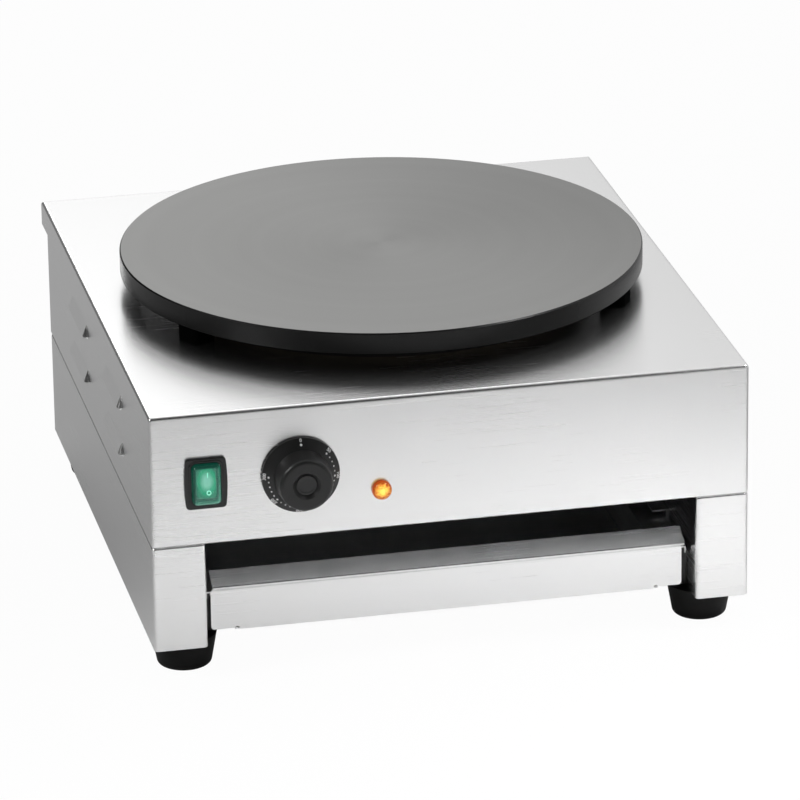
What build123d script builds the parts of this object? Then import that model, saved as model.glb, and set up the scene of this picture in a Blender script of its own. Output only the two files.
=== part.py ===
"""Electric crepe maker: a cast-iron plate on a bent stainless steel housing with a tray drawer.

Millimetres, +Z up, front towards -Y, feet on z = 0, origin under the middle of the overall box.
Every function makes one sub-part; main() writes one STEP file per sub-part into parts/.
"""
from build123d import *
import math
import os

# ---------------------------------------------------------------- driving dimensions
PLATE_D = 400.0          # cast-iron plate
SIDE_MARGIN = 25.0       # plate to the housing's sides
END_MARGIN = 45.0        # plate to the cover's front and rear edges
HOOD_REACH = 28.0        # top cover past the rear panel
HOOD_H = 19.0            # height of the hood's rear lip
PANEL_H = 102.0          # front panel
LEG_H = 82.0             # leg boxes
LEG_W = 40.0
FOOT_H = 25.0

SHEET = 1.2              # housing sheet
BEND_R = 3.0             # outer bend radius of the large bends
EDGE_R = 1.6             # outer bend radius of the flanges at the seam
FLANGE_W = 14.0          # inward flanges of the housing
FIT = 0.3                # assembly clearance between sheets

PLATE_T = 12.0           # its thickness over the element
RIM_H = 17.0             # height of its rim
RIM_W = 14.0             # width of the rim's wall
PLATE_GAP = 14.0         # air gap between rim and cover
PLATE_CHAMFER = 1.0
LUG_L = 20.0             # lugs of the plate: radial length, width and place
LUG_W = 22.0
LUG_INSET = 4.0
LUG_COUNT = 3
LUG_CORNER_R = 4.0
STUD_D = 8.0             # studs between lug and cover
STUD_GRIP = 10.0         # thread in the lug
NUT_H = 6.5
WASHER_T = 1.6
HOLE_PLAY = 0.5          # radial clearance of a screw hole

PAN_MARGIN = 44.0        # plate rim to element pan, radially
PAN_FLANGE = 8.0
PAN_DEPTH = 14.0
PAN_SHEET = 1.0
ELEMENT_D = 8.0
ELEMENT_PASSES = 4
ELEMENT_CLEAR = 5.4      # inner pass to the capillary's hole
ELEMENT_MARGIN = 11.0    # pan wall to the middle of the outer pass
ELEMENT_BREAK = 10.0     # half of the angle that the passes leave open, degrees
ELEMENT_LEG = 40.0       # cold ends, downwards
ELEMENT_ELBOW_R = 10.0
ELEMENT_HOLE_PLAY = 4.8  # radial room for the bends in the discs below
CLAMP_T = 1.8
BULB_D = 5.0
BULB_L = 60.0
BULB_Y = -30.0           # place of the bulb from the plate's middle
CAPILLARY_D = 1.6
CAPILLARY_BEND_R = 9.0
CABLE_HOLE_R = 4.0

SWITCH_FROM_LEFT = 41.0  # controls, from the left side of the front panel
KNOB_FROM_LEFT = 111.2
LAMP_FROM_LEFT = 171.5
SWITCH_DROP = 53.4       # controls, from the top of the housing
KNOB_DROP = 53.2
LAMP_DROP = 71.3

KNOB_REACH = 26.0        # front panel to the knob's face
KNOB_GAP = 0.8
SKIRT_R = 29.0
SKIRT_EDGE = 2.2
SKIRT_RISE = 5.0         # rise of the dial cone
SKIRT_RECESS_R = 25.0
GRIP_R = 21.2
GRIP_TIP_R = 19.6
GRIP_ROUND_R = 3.0
KNOB_WALL = 3.0
KNOB_BOSS_R = 7.0
CAP_R = 10.4             # sunk middle of the face, sloping down to the cap
CAP_SLOPE = 2.6
CAP_DEPTH = 2.4
CAP_T = 0.8
SHAFT_D = 6.0
SHAFT_PLAY = 0.05        # radial running clearance of the shaft
THERMOSTAT_W = 36.0
THERMOSTAT_H = 46.0
THERMOSTAT_D = 30.0
BUSH_R = 5.0
THERMOSTAT_SCREW_PITCH = 28.0
SMALL_SCREW_D = 4.0
SMALL_HEAD_R = 3.6
SMALL_HEAD_H = 2.0

BEZEL_W = 29.4
BEZEL_H = 39.5
BEZEL_BULGE = 1.3        # how far its long sides bow out
BEZEL_T = 2.6
BEZEL_CORNER_R = 3.0
WINDOW_W = 21.6
WINDOW_H = 31.8
WINDOW_CORNER_R = 4.0
SWITCH_W = 20.8
SWITCH_H = 29.6
SWITCH_D = 24.0
ROCKER_W = 14.4
ROCKER_L = 23.2
ROCKER_T = 2.8           # pivot to the rocker's face, at its middle
ROCKER_DIP = 0.8
ROCKER_CORNER_R = 4.2
ROCKER_THROW = 22.0      # degrees between on and off
ROCKER_PLAY = 0.6
PIVOT_R = 1.0
PIVOT_PLAY = 0.05
BOOT_T = 0.8
BOOT_REACH = 7.6         # front panel to the boot's crown
BOOT_ROUND_R = 3.2

LAMP_R = 7.4
LAMP_REACH = 6.6
LAMP_BASE = 2.0
LAMP_BODY_R = 6.2
LAMP_BODY_L = 26.0
LAMP_NUT_R = 9.5
LAMP_NUT_H = 3.0

LOUVRE_L = 66.0          # straight length
LOUVRE_H = 11.0
LOUVRE_REACH = 3.6
LOUVRE_SKIN = 0.9
LOUVRE_PITCH_Y = 154.0
LOUVRE_PITCH_Z = 37.0
LOUVRE_DROP = 32.5       # top of the housing to the upper row
LOUVRE_COLUMNS = 2
LOUVRE_ROWS = 2

TRAY_LIFT = 3.5          # leg bottom to tray bottom
TRAY_SIDE_GAP = 22.8     # tray box to rail web
TRAY_H = 31.5
TRAY_SHEET = 1.0
TRAY_CORNER_R = 8.0
TRAY_RIM_GAP = 1.2       # tray rim to rail web, each side
TRAY_HEM = 5.3
DRAWER_SET_BACK = 20.0   # leg front to drawer front
DRAWER_SIDE_GAP = 6.0    # leg to drawer front
TAB_LIFT = 1.4           # drawer front's lower edge over the strips
NOTCH_W = 3.0            # relief notches between that edge and the tray's
NOTCH_H = 2.6
GRIP_START = 32.5        # tray bottom to the grip's lower bend
GRIP_OUT = 9.5
GRIP_RISE = 5.0
GRIP_BACK = 14.0
GRIP_BACK_RISE = 9.0
GRIP_BEND_R = 1.0
FRONT_CORNER_R = 2.5     # lower corners of the drawer front
FRONT_STEP_R = 0.8
SLIDE_GAP = 0.3

RAIL_SET_BACK = 28.0     # leg front to rail
RAIL_END_GAP = 18.0
RAIL_ROOM = 9.0          # between ledge and upper flange
RAIL_LEDGE = 18.0
RAIL_GUIDE = 12.0
GUIDE_SET_BACK = 84.0    # leg front to the upper flange
STRIP_T = 1.5
STRIP_LEDGE = 17.0       # strip past the leg's inner wall
STRIP_SET_BACK = 76.0    # leg front to that ledge
STRIP_LIP = 6.0

FOOT_TOP_R = 24.5
FOOT_BOTTOM_R = 20.0
FOOT_ROUND_R = 4.0
FOOT_FROM_SIDE = 28.0
FOOT_FROM_END = 36.0
FOOT_RECESS_R = 10.0
FOOT_RECESS_H = 14.0
FOOT_HEAD_R = 7.0
FOOT_HEAD_H = 4.5

SHIELD_INSET = 6.0
SHIELD_RIB_W = 10.0
SHIELD_RIB_H = 2.0
VENT_L = 34.0
VENT_W = 5.0
VENT_PITCH_X = 44.0
VENT_PITCH_Z = 12.0
VENT_COLUMNS = 7
VENT_ROWS = 2

GLAND_FROM_RIGHT = 60.0
GLAND_LIFT = 30.0
GLAND_THREAD_R = 9.8
GLAND_HEX_R = 13.5
GLAND_BORE_R = 5.3
GLAND_HEX_L = 7.0
GLAND_DOME_L = 13.0
GLAND_THREAD_L = 10.0
GLAND_NUT_L = 5.0
BLOCK_L = 52.0
BLOCK_W = 20.0
BLOCK_H = 18.0
BLOCK_POLES = 3
EARTH_D = 5.0
EARTH_L = 16.0
EARTH_FROM_BLOCK = 24.0
REAR_SCREW_LEVELS = 3

# ---------------------------------------------------------------- derived places
HALF = PLATE_D / 2 + SIDE_MARGIN
TOP_DEPTH = PLATE_D + 2 * END_MARGIN
BODY_DEPTH = TOP_DEPTH - HOOD_REACH
Y_FRONT = -(TOP_DEPTH - KNOB_REACH) / 2
Y_BACK = Y_FRONT + BODY_DEPTH
Y_LIP = Y_FRONT + TOP_DEPTH
Y_MID = Y_FRONT + TOP_DEPTH / 2

Z_LEG = FOOT_H
Z_SEAM = Z_LEG + LEG_H
Z_TOP = Z_SEAM + PANEL_H
Z_HOOD = Z_TOP - HOOD_H
Z_RIM = Z_TOP + PLATE_GAP
Z_PLATE = Z_RIM + RIM_H
Z_UNDER = Z_PLATE - PLATE_T
Z_SHIELD = Z_SEAM + SHEET

PLATE_R = PLATE_D / 2
PAN_R = PLATE_R - PAN_MARGIN
LUG_R = PLATE_R - LUG_INSET - LUG_L / 2
Z_ELEMENT = Z_UNDER - ELEMENT_D / 2
Z_CLAMP = Z_ELEMENT - ELEMENT_D / 2 - FIT
ELEMENT_R = PAN_R - ELEMENT_MARGIN
CAPILLARY_OUT = BULB_L / 2 + 2 * CAPILLARY_BEND_R
ELEMENT_IN_R = math.hypot(CAPILLARY_OUT, BULB_Y) + CABLE_HOLE_R + ELEMENT_CLEAR + ELEMENT_D / 2
ELEMENT_PITCH = (ELEMENT_R - ELEMENT_IN_R) / (ELEMENT_PASSES - 1)
Z_PAN = Z_TOP - PAN_DEPTH

X_SWITCH = -HALF + SWITCH_FROM_LEFT
X_KNOB = -HALF + KNOB_FROM_LEFT
X_LAMP = -HALF + LAMP_FROM_LEFT
Z_SWITCH = Z_TOP - SWITCH_DROP
Z_KNOB = Z_TOP - KNOB_DROP
Z_LAMP = Z_TOP - LAMP_DROP
Y_INSIDE = Y_FRONT + SHEET
Y_PIVOT = Y_FRONT - BEZEL_T / 2

X_LEG = HALF - LEG_W
X_WEB = X_LEG - SHEET
TRAY_HALF = X_WEB - TRAY_SIDE_GAP
Z_STRIP = Z_LEG + STRIP_T
Z_TRAY = Z_LEG + TRAY_LIFT
Z_TRAY_TOP = Z_TRAY + TRAY_H
X_RIM = X_WEB - TRAY_RIM_GAP
Z_LEDGE = Z_TRAY_TOP - TRAY_HEM - SLIDE_GAP
Y_DRAWER = Y_FRONT + DRAWER_SET_BACK
X_DRAWER = X_LEG - DRAWER_SIDE_GAP
Y_RAIL_STOP = Y_BACK - RAIL_END_GAP - SHEET
Y_TRAY_REAR = Y_RAIL_STOP - SLIDE_GAP
X_FOOT = HALF - FOOT_FROM_SIDE
X_GLAND = HALF - GLAND_FROM_RIGHT
Z_GLAND = Z_SEAM + GLAND_LIFT


# ---------------------------------------------------------------- helpers
def block(x, y, z):
    """Box between two limits on each axis."""
    size = [high - low for low, high in (x, y, z)]
    middle = [(low + high) / 2 for low, high in (x, y, z)]
    return Pos(*middle) * Box(*size)


def post(x, y, z_low, z_high, radius):
    """Upright cylinder between two heights."""
    return Pos(x, y, (z_low + z_high) / 2) * Cylinder(radius, z_high - z_low)


def rod(x, z, y_low, y_high, radius):
    """Cylinder along Y between two depths."""
    return Pos(x, (y_low + y_high) / 2, z) * Rot(90, 0, 0) * Cylinder(radius, y_high - y_low)


def bar(y, z, x_low, x_high, radius):
    """Cylinder along X between two sides."""
    return Pos((x_low + x_high) / 2, y, z) * Rot(0, 90, 0) * Cylinder(radius, x_high - x_low)


def across(points, x_low, x_high):
    """Outline of (y, z) points run along X."""
    face = make_face(Polyline(*points, close=True))
    return extrude(Plane.YZ.offset(x_low) * face, x_high - x_low)


def slot_hole(x, y, z, length, width, depth):
    """Long hole with round ends, lying along X and cut along Y."""
    return Pos(x, y, z) * extrude(Plane.XZ * SlotOverall(length, width), depth / 2, both=True)


def hex_post(x, y, z_low, z_high, radius):
    """Upright hexagon between two heights."""
    return Pos(x, y, z_low) * extrude(RegularPolygon(radius, 6), z_high - z_low)


def hex_rod(x, z, y_low, y_high, radius):
    """Hexagon along Y between two depths."""
    prism = extrude(Plane.XZ * RegularPolygon(radius, 6), -(y_high - y_low))
    return Pos(x, y_low, z) * prism


def turned(points, x, z):
    """Profile of (radius, distance out of the front panel) turned about an axis along Y."""
    face = make_face(Polyline(*[(r, out) for r, out in points], close=True))
    return Pos(x, Y_FRONT, z) * Rot(90, 0, 0) * revolve(Plane.XZ * face, Axis.Z)


def pan_head(place, radius, height):
    """Low round screw head standing up from its seat."""
    head = Pos(0, 0, height / 2) * Cylinder(radius, height)
    rim = head.edges().sort_by(Axis.Z)[-1]
    return place * fillet(rim, height * 0.6)


def lug_places():
    """Angle of each lug about the plate, one of them at the rear."""
    return [90 + 360 / LUG_COUNT * i for i in range(LUG_COUNT)]


def about_plate(angle, radius):
    """Place on a circle about the plate's middle."""
    turn = math.radians(angle)
    return radius * math.cos(turn), Y_MID + radius * math.sin(turn)


def mirrored(part, side):
    """The right-hand piece, or its mirror image on the left."""
    return part if side > 0 else mirror(part, Plane.YZ)


# ---------------------------------------------------------------- housing
def louvre(side, y, z):
    """Pressed louvre in a side wall: the skin to add and the air way to cut."""
    low, high, out = -LOUVRE_H / 2, LOUVRE_H / 2, LOUVRE_REACH
    edge = Line((0, high), (0, low)) + Line((0, low), (out * 0.7, low))
    edge += ThreePointArc((out * 0.7, low), (out * 0.97, low + out * 0.22), (out, low + out * 0.6))
    edge += Line((out, low + out * 0.6), (0, high))
    face = Plane.XZ * make_face(edge)
    straight = extrude(face, LOUVRE_L / 2, both=True)
    skin = straight
    for end in (-1, 1):
        skin += Pos(0, end * LOUVRE_L / 2, 0) * revolve(Rot(0, 0, -90) * face, Axis.Z, 180)
    hollow = out - LOUVRE_SKIN
    inner = [(-2 * SHEET, high - out), (-2 * SHEET, low + out * 0.3), (0, low + out * 0.3), (0, low - out)]
    inner += [(hollow, low - out), (hollow, low + out * 0.6), (hollow * 0.35, high - out)]
    way = extrude(Plane.XZ * make_face(Polyline(*inner, close=True)), LOUVRE_L / 2 - out, both=True)
    place = Pos(HALF, y, z)
    return mirrored(place * skin, side), mirrored(place * way, side)


def housing_form(front, side, top, lip, hood_low, bottom, round_r):
    """Solid form of the housing with round bends at its top and its front corners."""
    outline = [(front, bottom), (front, top), (lip, top), (lip, hood_low)]
    outline += [(Y_BACK, hood_low), (Y_BACK, bottom)]
    form = across(outline, -side, side)
    bends = form.faces().sort_by(Axis.Z)[-1].edges()
    bends += form.edges().filter_by(Axis.Z).group_by(Axis.Y)[0]
    return fillet(bends, round_r)


def top_cover():
    """Top, front, sides and rear hood: one bent and welded sheet, open below and behind."""
    cover = housing_form(Y_FRONT, HALF, Z_TOP, Y_LIP, Z_HOOD, Z_SEAM, BEND_R)
    seam = cover.faces().sort_by(Axis.Z)[0].edges().sort_by(Axis.Y)[:-1]
    cover = fillet(seam, EDGE_R)
    room = housing_form(Y_INSIDE, HALF - SHEET, Z_TOP - SHEET, Y_LIP - SHEET, Z_HOOD + SHEET,
                        Z_SEAM + SHEET, BEND_R - SHEET)
    keep = block((-HALF, HALF), (Y_BACK - SHEET, Y_BACK + FIT), (Z_SEAM, Z_HOOD + SHEET))
    cover -= room - keep
    open_x = HALF - FLANGE_W
    cover -= block((-open_x, open_x), (Y_FRONT + FLANGE_W, Y_BACK + FIT), (Z_SEAM - FIT, Z_HOOD))
    cover -= post(0, Y_MID, Z_TOP - 2 * SHEET, Z_TOP + FIT, PAN_R + FIT)
    for angle in lug_places():
        x, y = about_plate(angle, LUG_R)
        cover -= post(x, y, Z_TOP - 2 * SHEET, Z_TOP + FIT, STUD_D / 2 + HOLE_PLAY)
    for column in range(LOUVRE_COLUMNS):
        for row in range(LOUVRE_ROWS):
            y = (Y_FRONT + Y_BACK) / 2 + (column - (LOUVRE_COLUMNS - 1) / 2) * LOUVRE_PITCH_Y
            z = Z_TOP - LOUVRE_DROP - row * LOUVRE_PITCH_Z
            for side in (-1, 1):
                skin, way = louvre(side, y, z)
                cover = cover + skin - way
    through = (Y_FRONT - FIT, Y_INSIDE + FIT)
    half_w, half_h = SWITCH_W / 2 + FIT, SWITCH_H / 2 + FIT
    cover -= block((X_SWITCH - half_w, X_SWITCH + half_w), through,
                   (Z_SWITCH - half_h, Z_SWITCH + half_h))
    cover -= rod(X_KNOB, Z_KNOB, *through, BUSH_R + FIT)
    for z in thermostat_screw_levels():
        cover -= rod(X_KNOB, z, *through, SMALL_SCREW_D / 2 + HOLE_PLAY)
    cover -= rod(X_LAMP, Z_LAMP, *through, LAMP_BODY_R + FIT)
    for x, z in rear_screw_places():
        cover -= rod(x, z, Y_BACK - 2 * SHEET, Y_BACK + FIT, SMALL_SCREW_D / 2 + HOLE_PLAY)
    return cover


def rear_screw_places():
    """Screws down both sides of the rear panel."""
    low, high = Z_SEAM + FLANGE_W, Z_HOOD - FLANGE_W / 2
    step = (high - low) / (REAR_SCREW_LEVELS - 1)
    x = HALF - FLANGE_W / 2
    return [(side * x, low + step * i) for side in (-1, 1) for i in range(REAR_SCREW_LEVELS)]


def rear_panel():
    """Rear wall behind the cover's flanges, with vent slots and the cable gland's hole."""
    wide, narrow = HALF - SHEET - FIT, HALF - FLANGE_W - FIT
    rear = Y_BACK - SHEET
    front = rear - SHEET
    panel = block((-wide, wide), (front, rear), (Z_SHIELD + FIT, Z_TOP - SHEET - FIT))
    top_corners = panel.edges().filter_by(Axis.Y).group_by(Axis.Z)[-1]
    panel = fillet(top_corners, BEND_R)
    panel += block((-narrow, narrow), (front, rear), (Z_SEAM, Z_SHIELD + 2 * FIT))
    panel += block((-narrow, narrow), (rear - FLANGE_W, rear), (Z_SEAM, Z_SEAM + SHEET))
    middle_z = (Z_SHIELD + Z_HOOD) / 2
    for column in range(VENT_COLUMNS):
        for row in range(VENT_ROWS):
            x = -HALF + GLAND_FROM_RIGHT + VENT_L / 2 + column * VENT_PITCH_X - VENT_L
            z = middle_z + (row - (VENT_ROWS - 1) / 2) * VENT_PITCH_Z + VENT_PITCH_Z
            panel -= slot_hole(x, rear, z, VENT_L, VENT_W, 4 * SHEET)
    panel -= rod(X_GLAND, Z_GLAND, front - FIT, rear + FIT, GLAND_THREAD_R + FIT)
    for x, z in rear_screw_places():
        panel -= rod(x, z, front - FIT, rear + FIT, SMALL_SCREW_D / 2 + FIT)
    return panel


def rear_screws():
    """Pan head screws that hold the rear panel to the cover's flanges."""
    screws = []
    for x, z in rear_screw_places():
        head = pan_head(Pos(x, Y_BACK, z) * Rot(-90, 0, 0), SMALL_HEAD_R, SMALL_HEAD_H)
        screws.append(head + rod(x, z, Y_BACK - 4 * SHEET, Y_BACK + FIT, SMALL_SCREW_D / 2))
    return screws


def heat_shield():
    """Floor of the housing, over the drawer, with two pressed stiffening ribs."""
    side = HALF - SHIELD_INSET
    front, rear = Y_FRONT + SHIELD_INSET, Y_BACK - 2 * SHEET - FIT
    shield = block((-side, side), (front, rear), (Z_SHIELD, Z_SHIELD + SHEET))
    for x in (-side / 2, side / 2):
        rib = (x - SHIELD_RIB_W / 2, x + SHIELD_RIB_W / 2)
        ends = (front + FLANGE_W * 2, rear - FLANGE_W * 2)
        shield += block(rib, ends, (Z_SHIELD, Z_SHIELD + SHEET + SHIELD_RIB_H))
        shield -= block((rib[0] + SHEET, rib[1] - SHEET), (ends[0] + SHEET, ends[1] - SHEET),
                        (Z_SHIELD - FIT, Z_SHIELD + SHIELD_RIB_H))
    return shield


# ---------------------------------------------------------------- legs and feet
def leg_box(side):
    """Sheet box under one side of the housing, open below."""
    leg = block((X_LEG, HALF), (Y_FRONT, Y_BACK), (Z_LEG, Z_SEAM))
    leg = fillet(leg.edges().filter_by(Axis.Z), BEND_R)
    leg = fillet(leg.faces().sort_by(Axis.Z)[-1].edges(), EDGE_R)
    low = leg.faces().sort_by(Axis.Z)[0].edges()
    leg = chamfer(low, SHEET / 3)
    room = block((X_LEG + SHEET, HALF - SHEET), (Y_FRONT + SHEET, Y_BACK - SHEET),
                 (Z_LEG - FIT, Z_SEAM - SHEET))
    room = fillet(room.edges().filter_by(Axis.Z), BEND_R - SHEET)
    leg -= room
    leg -= block((X_LEG - FIT, X_LEG + 2 * SHEET), (Y_FRONT + STRIP_SET_BACK, Y_BACK - BEND_R - SHEET),
                 (Z_LEG - FIT, Z_STRIP + FIT))
    for y in rail_screw_places():
        leg -= bar(y, rail_screw_level(), X_LEG - FIT, X_LEG + SHEET + FIT, SMALL_SCREW_D / 2 + FIT)
    return mirrored(leg, side)


def foot_ends():
    """Depth of the front and the rear feet."""
    return Y_FRONT + FOOT_FROM_END, Y_BACK - FOOT_FROM_END


def leg_strip(side):
    """Base strip that closes a leg box, carries its feet and stiffens its inner edge."""
    inside = X_LEG - STRIP_LEDGE
    front, rear = Y_FRONT + SHEET + FIT, Y_BACK - SHEET - FIT
    strip = block((X_LEG + SHEET + FIT, HALF - SHEET - FIT), (front, rear), (Z_LEG, Z_STRIP))
    strip = fillet(strip.edges().filter_by(Axis.Z), BEND_R - SHEET)
    ledge = (Y_FRONT + STRIP_SET_BACK + FIT, Y_BACK - BEND_R - SHEET - FIT)
    strip += block((inside, X_LEG + LEG_W / 2), ledge, (Z_LEG, Z_STRIP))
    strip += block((inside, inside + STRIP_T), ledge, (Z_LEG, Z_STRIP + STRIP_LIP))
    for y in foot_ends():
        strip -= post(X_FOOT, y, Z_LEG - FIT, Z_STRIP + FIT, STUD_D / 2 + HOLE_PLAY)
    return mirrored(strip, side)


def foot(side, y):
    """Tapered rubber foot with a recess for its screw."""
    profile = make_face(Polyline((0, 0), (FOOT_BOTTOM_R, 0), (FOOT_TOP_R, FOOT_H), (0, FOOT_H), close=True))
    form = revolve(Plane.XZ * profile, Axis.Z)
    form = fillet(form.edges().sort_by(Axis.Z)[0], FOOT_ROUND_R)
    form -= post(0, 0, -FIT, FOOT_RECESS_H, FOOT_RECESS_R)
    form -= post(0, 0, 0, FOOT_H + FIT, STUD_D / 2 + FIT)
    return Pos(side * X_FOOT, y, 0) * form


def foot_screws():
    """Screws up through the feet into the strips."""
    screws = []
    for side in (-1, 1):
        for y in foot_ends():
            head = pan_head(Pos(side * X_FOOT, y, FOOT_RECESS_H) * Rot(180, 0, 0), FOOT_HEAD_R, FOOT_HEAD_H)
            shank = post(side * X_FOOT, y, FOOT_RECESS_H - FIT, Z_STRIP + NUT_H + FIT, STUD_D / 2)
            screws.append(head + shank)
    return screws


def foot_nuts():
    """Nuts on the foot screws, inside the leg boxes."""
    nuts = []
    for side in (-1, 1):
        for y in foot_ends():
            nut = hex_post(side * X_FOOT, y, Z_STRIP, Z_STRIP + NUT_H, STUD_D)
            nuts.append(nut - post(side * X_FOOT, y, Z_LEG, Z_SEAM, STUD_D / 2 + SHAFT_PLAY))
    return nuts


def rear_cross_panel():
    """Sheet between the legs that closes the drawer bay at the rear."""
    side = X_LEG - FIT
    rear = Y_BACK - BEND_R
    low = Z_STRIP + STRIP_LIP + SHEET
    panel = block((-side, side), (rear - SHEET, rear), (low, Z_SEAM))
    for edge in (-1, 1):
        x = sorted((edge * side, edge * (side - SHEET)))
        panel += block(x, (rear - FLANGE_W, rear), (low, Z_SEAM))
    panel += block((-side, side), (rear - FLANGE_W, rear), (Z_SEAM - SHEET, Z_SEAM))
    return panel


# ---------------------------------------------------------------- drawer and rails
def rail_screw_places():
    """Depth of the screws along a rail."""
    front, rear = Y_FRONT + RAIL_SET_BACK + FLANGE_W, Y_BACK - RAIL_END_GAP - FLANGE_W
    return front, (front + rear) / 2, rear


def rail_screw_level():
    """Height of the rail screws, between strip and ledge."""
    return (Z_STRIP + STRIP_LIP + Z_LEDGE - SHEET) / 2


def rail(side):
    """Bent drawer rail: a web on the leg's inner wall, a ledge and an upper guide flange."""
    depth = (Y_FRONT + RAIL_SET_BACK, Y_RAIL_STOP + SHEET)
    top = Z_LEDGE + RAIL_ROOM
    over = (Y_FRONT + GUIDE_SET_BACK, depth[1])
    form = block((X_WEB, X_LEG), depth, (Z_STRIP + FIT, Z_LEDGE))
    form += block((X_WEB, X_LEG), over, (Z_LEDGE - FIT, top + SHEET))
    form += block((X_LEG - RAIL_LEDGE, X_LEG), depth, (Z_LEDGE - SHEET, Z_LEDGE))
    form += block((X_LEG - RAIL_GUIDE, X_LEG), over, (top, top + SHEET))
    form += block((X_LEG - RAIL_GUIDE, X_LEG), (Y_RAIL_STOP, depth[1]), (Z_LEDGE - SHEET, top + SHEET))
    for y in rail_screw_places():
        form -= bar(y, rail_screw_level(), X_WEB - FIT, X_LEG + FIT, SMALL_SCREW_D / 2 + FIT)
    return mirrored(form, side)


def rail_screws():
    """Screws that hold the rails to the legs."""
    screws = []
    for side in (-1, 1):
        for y in rail_screw_places():
            z = rail_screw_level()
            screw = pan_head(Pos(X_WEB, y, z) * Rot(0, -90, 0), SMALL_HEAD_R, SMALL_HEAD_H)
            screw += bar(y, z, X_WEB - FIT, X_LEG + 3 * SHEET, SMALL_SCREW_D / 2)
            screws.append(mirrored(screw, side))
    return screws


def drawer_tray():
    """Open tray with rims that hang on the rails' ledges by a hem."""
    front = Y_DRAWER + TRAY_SHEET
    rear = Y_TRAY_REAR - TRAY_HEM
    tray = block((-TRAY_HALF, TRAY_HALF), (front, rear), (Z_TRAY, Z_TRAY_TOP))
    tray = fillet(tray.edges().filter_by(Axis.Z).group_by(Axis.Y)[-1], TRAY_CORNER_R)
    room = block((-TRAY_HALF + TRAY_SHEET, TRAY_HALF - TRAY_SHEET), (front - FIT, rear - TRAY_SHEET),
                 (Z_TRAY + TRAY_SHEET, Z_TRAY_TOP + FIT))
    room = fillet(room.edges().filter_by(Axis.Z).group_by(Axis.Y)[-1], TRAY_CORNER_R - TRAY_SHEET)
    rim = block((-X_RIM, X_RIM), (front, rear + TRAY_HEM), (Z_TRAY_TOP - TRAY_SHEET, Z_TRAY_TOP))
    hem_x = X_RIM - TRAY_SHEET
    hem = block((-X_RIM, X_RIM), (front, rear + TRAY_HEM), (Z_TRAY_TOP - TRAY_HEM, Z_TRAY_TOP))
    hem -= block((-hem_x, hem_x), (front - FIT, rear + TRAY_HEM - TRAY_SHEET),
                 (Z_TRAY_TOP - 2 * TRAY_HEM, Z_TRAY_TOP - TRAY_SHEET))
    return tray + rim + hem - room


def drawer_front():
    """Drawer front: a flat face that folds out to a grip edge and back up to a lip."""
    y, z = Y_DRAWER + TRAY_SHEET / 2, Z_TRAY + GRIP_START
    tip = (y - GRIP_OUT, z + GRIP_RISE)
    lip = (tip[0] + GRIP_BACK, tip[1] + GRIP_BACK_RISE)
    path = FilletPolyline((y, Z_TRAY), (y, z), tip, lip, radius=GRIP_BEND_R)
    section = Plane.YZ.offset(-X_DRAWER) * trace(path, TRAY_SHEET)
    front = extrude(section, 2 * X_DRAWER)
    for edge in (-1, 1):
        x = sorted((edge * TRAY_HALF, edge * (X_DRAWER + FIT)))
        through = (Y_DRAWER - FIT, Y_DRAWER + 2 * TRAY_SHEET)
        front -= block(x, through, (Z_TRAY - FIT, Z_TRAY + TAB_LIFT))
        notch = sorted((edge * TRAY_HALF, edge * (TRAY_HALF - NOTCH_W)))
        front -= block(notch, through, (Z_TRAY - FIT, Z_TRAY + NOTCH_H))
    levels = (Z_TRAY - FIT, Z_TRAY + TAB_LIFT + FIT)
    columns = front.edges().filter_by(Axis.Y).filter_by_position(Axis.Z, *levels).group_by(Axis.X)
    front = fillet(columns[0] + columns[-1], FRONT_CORNER_R)
    steps = front.edges().filter_by(Axis.Y).filter_by_position(Axis.X, -TRAY_HALF - FIT, TRAY_HALF + FIT)
    return fillet(steps.filter_by_position(Axis.Z, *levels), FRONT_STEP_R)


# ---------------------------------------------------------------- plate and heating
def cooking_plate():
    """Cast-iron disc with a rim, a middle boss and lugs that stand on the cover."""
    inner, edge = PLATE_R - RIM_W, PLATE_CHAMFER
    outline = [(0, Z_PLATE), (PLATE_R - edge, Z_PLATE), (PLATE_R, Z_PLATE - edge), (PLATE_R, Z_RIM + edge)]
    outline += [(PLATE_R - edge, Z_RIM), (inner, Z_RIM), (inner - edge, Z_UNDER), (STUD_D * 1.5, Z_UNDER)]
    outline += [(STUD_D * 1.5, Z_ELEMENT), (0, Z_ELEMENT)]
    plate = revolve(Plane.XZ * make_face(Polyline(*outline, close=True)), Axis.Z)
    plate = Pos(0, Y_MID, 0) * plate
    for angle in lug_places():
        lug = block((-LUG_L / 2, LUG_L / 2), (-LUG_W / 2, LUG_W / 2), (Z_TOP, Z_PLATE - PLATE_T / 2))
        lug = fillet(lug.edges().filter_by(Axis.Z), LUG_CORNER_R)
        x, y = about_plate(angle, LUG_R)
        plate += Pos(x, y, 0) * Rot(0, 0, angle) * lug
        plate -= post(x, y, Z_TOP - FIT, Z_TOP + STUD_GRIP + FIT, STUD_D / 2 + SHAFT_PLAY)
    plate -= post(0, Y_MID, Z_ELEMENT - FIT, Z_UNDER + PLATE_T / 2, STUD_D / 2 + SHAFT_PLAY)
    return plate


def plate_studs():
    """Studs from the lugs down through the cover."""
    low = Z_TOP - SHEET - WASHER_T - NUT_H - SHEET
    places = [about_plate(angle, LUG_R) for angle in lug_places()]
    return [post(x, y, low, Z_TOP + STUD_GRIP, STUD_D / 2) for x, y in places]


def plate_washers():
    """Washers under the cover, on the studs."""
    washers = []
    for x, y in [about_plate(angle, LUG_R) for angle in lug_places()]:
        top = Z_TOP - SHEET
        washer = post(x, y, top - WASHER_T, top, STUD_D)
        washers.append(washer - post(x, y, top - 2 * WASHER_T, top + FIT, STUD_D / 2 + FIT))
    return washers


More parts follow.
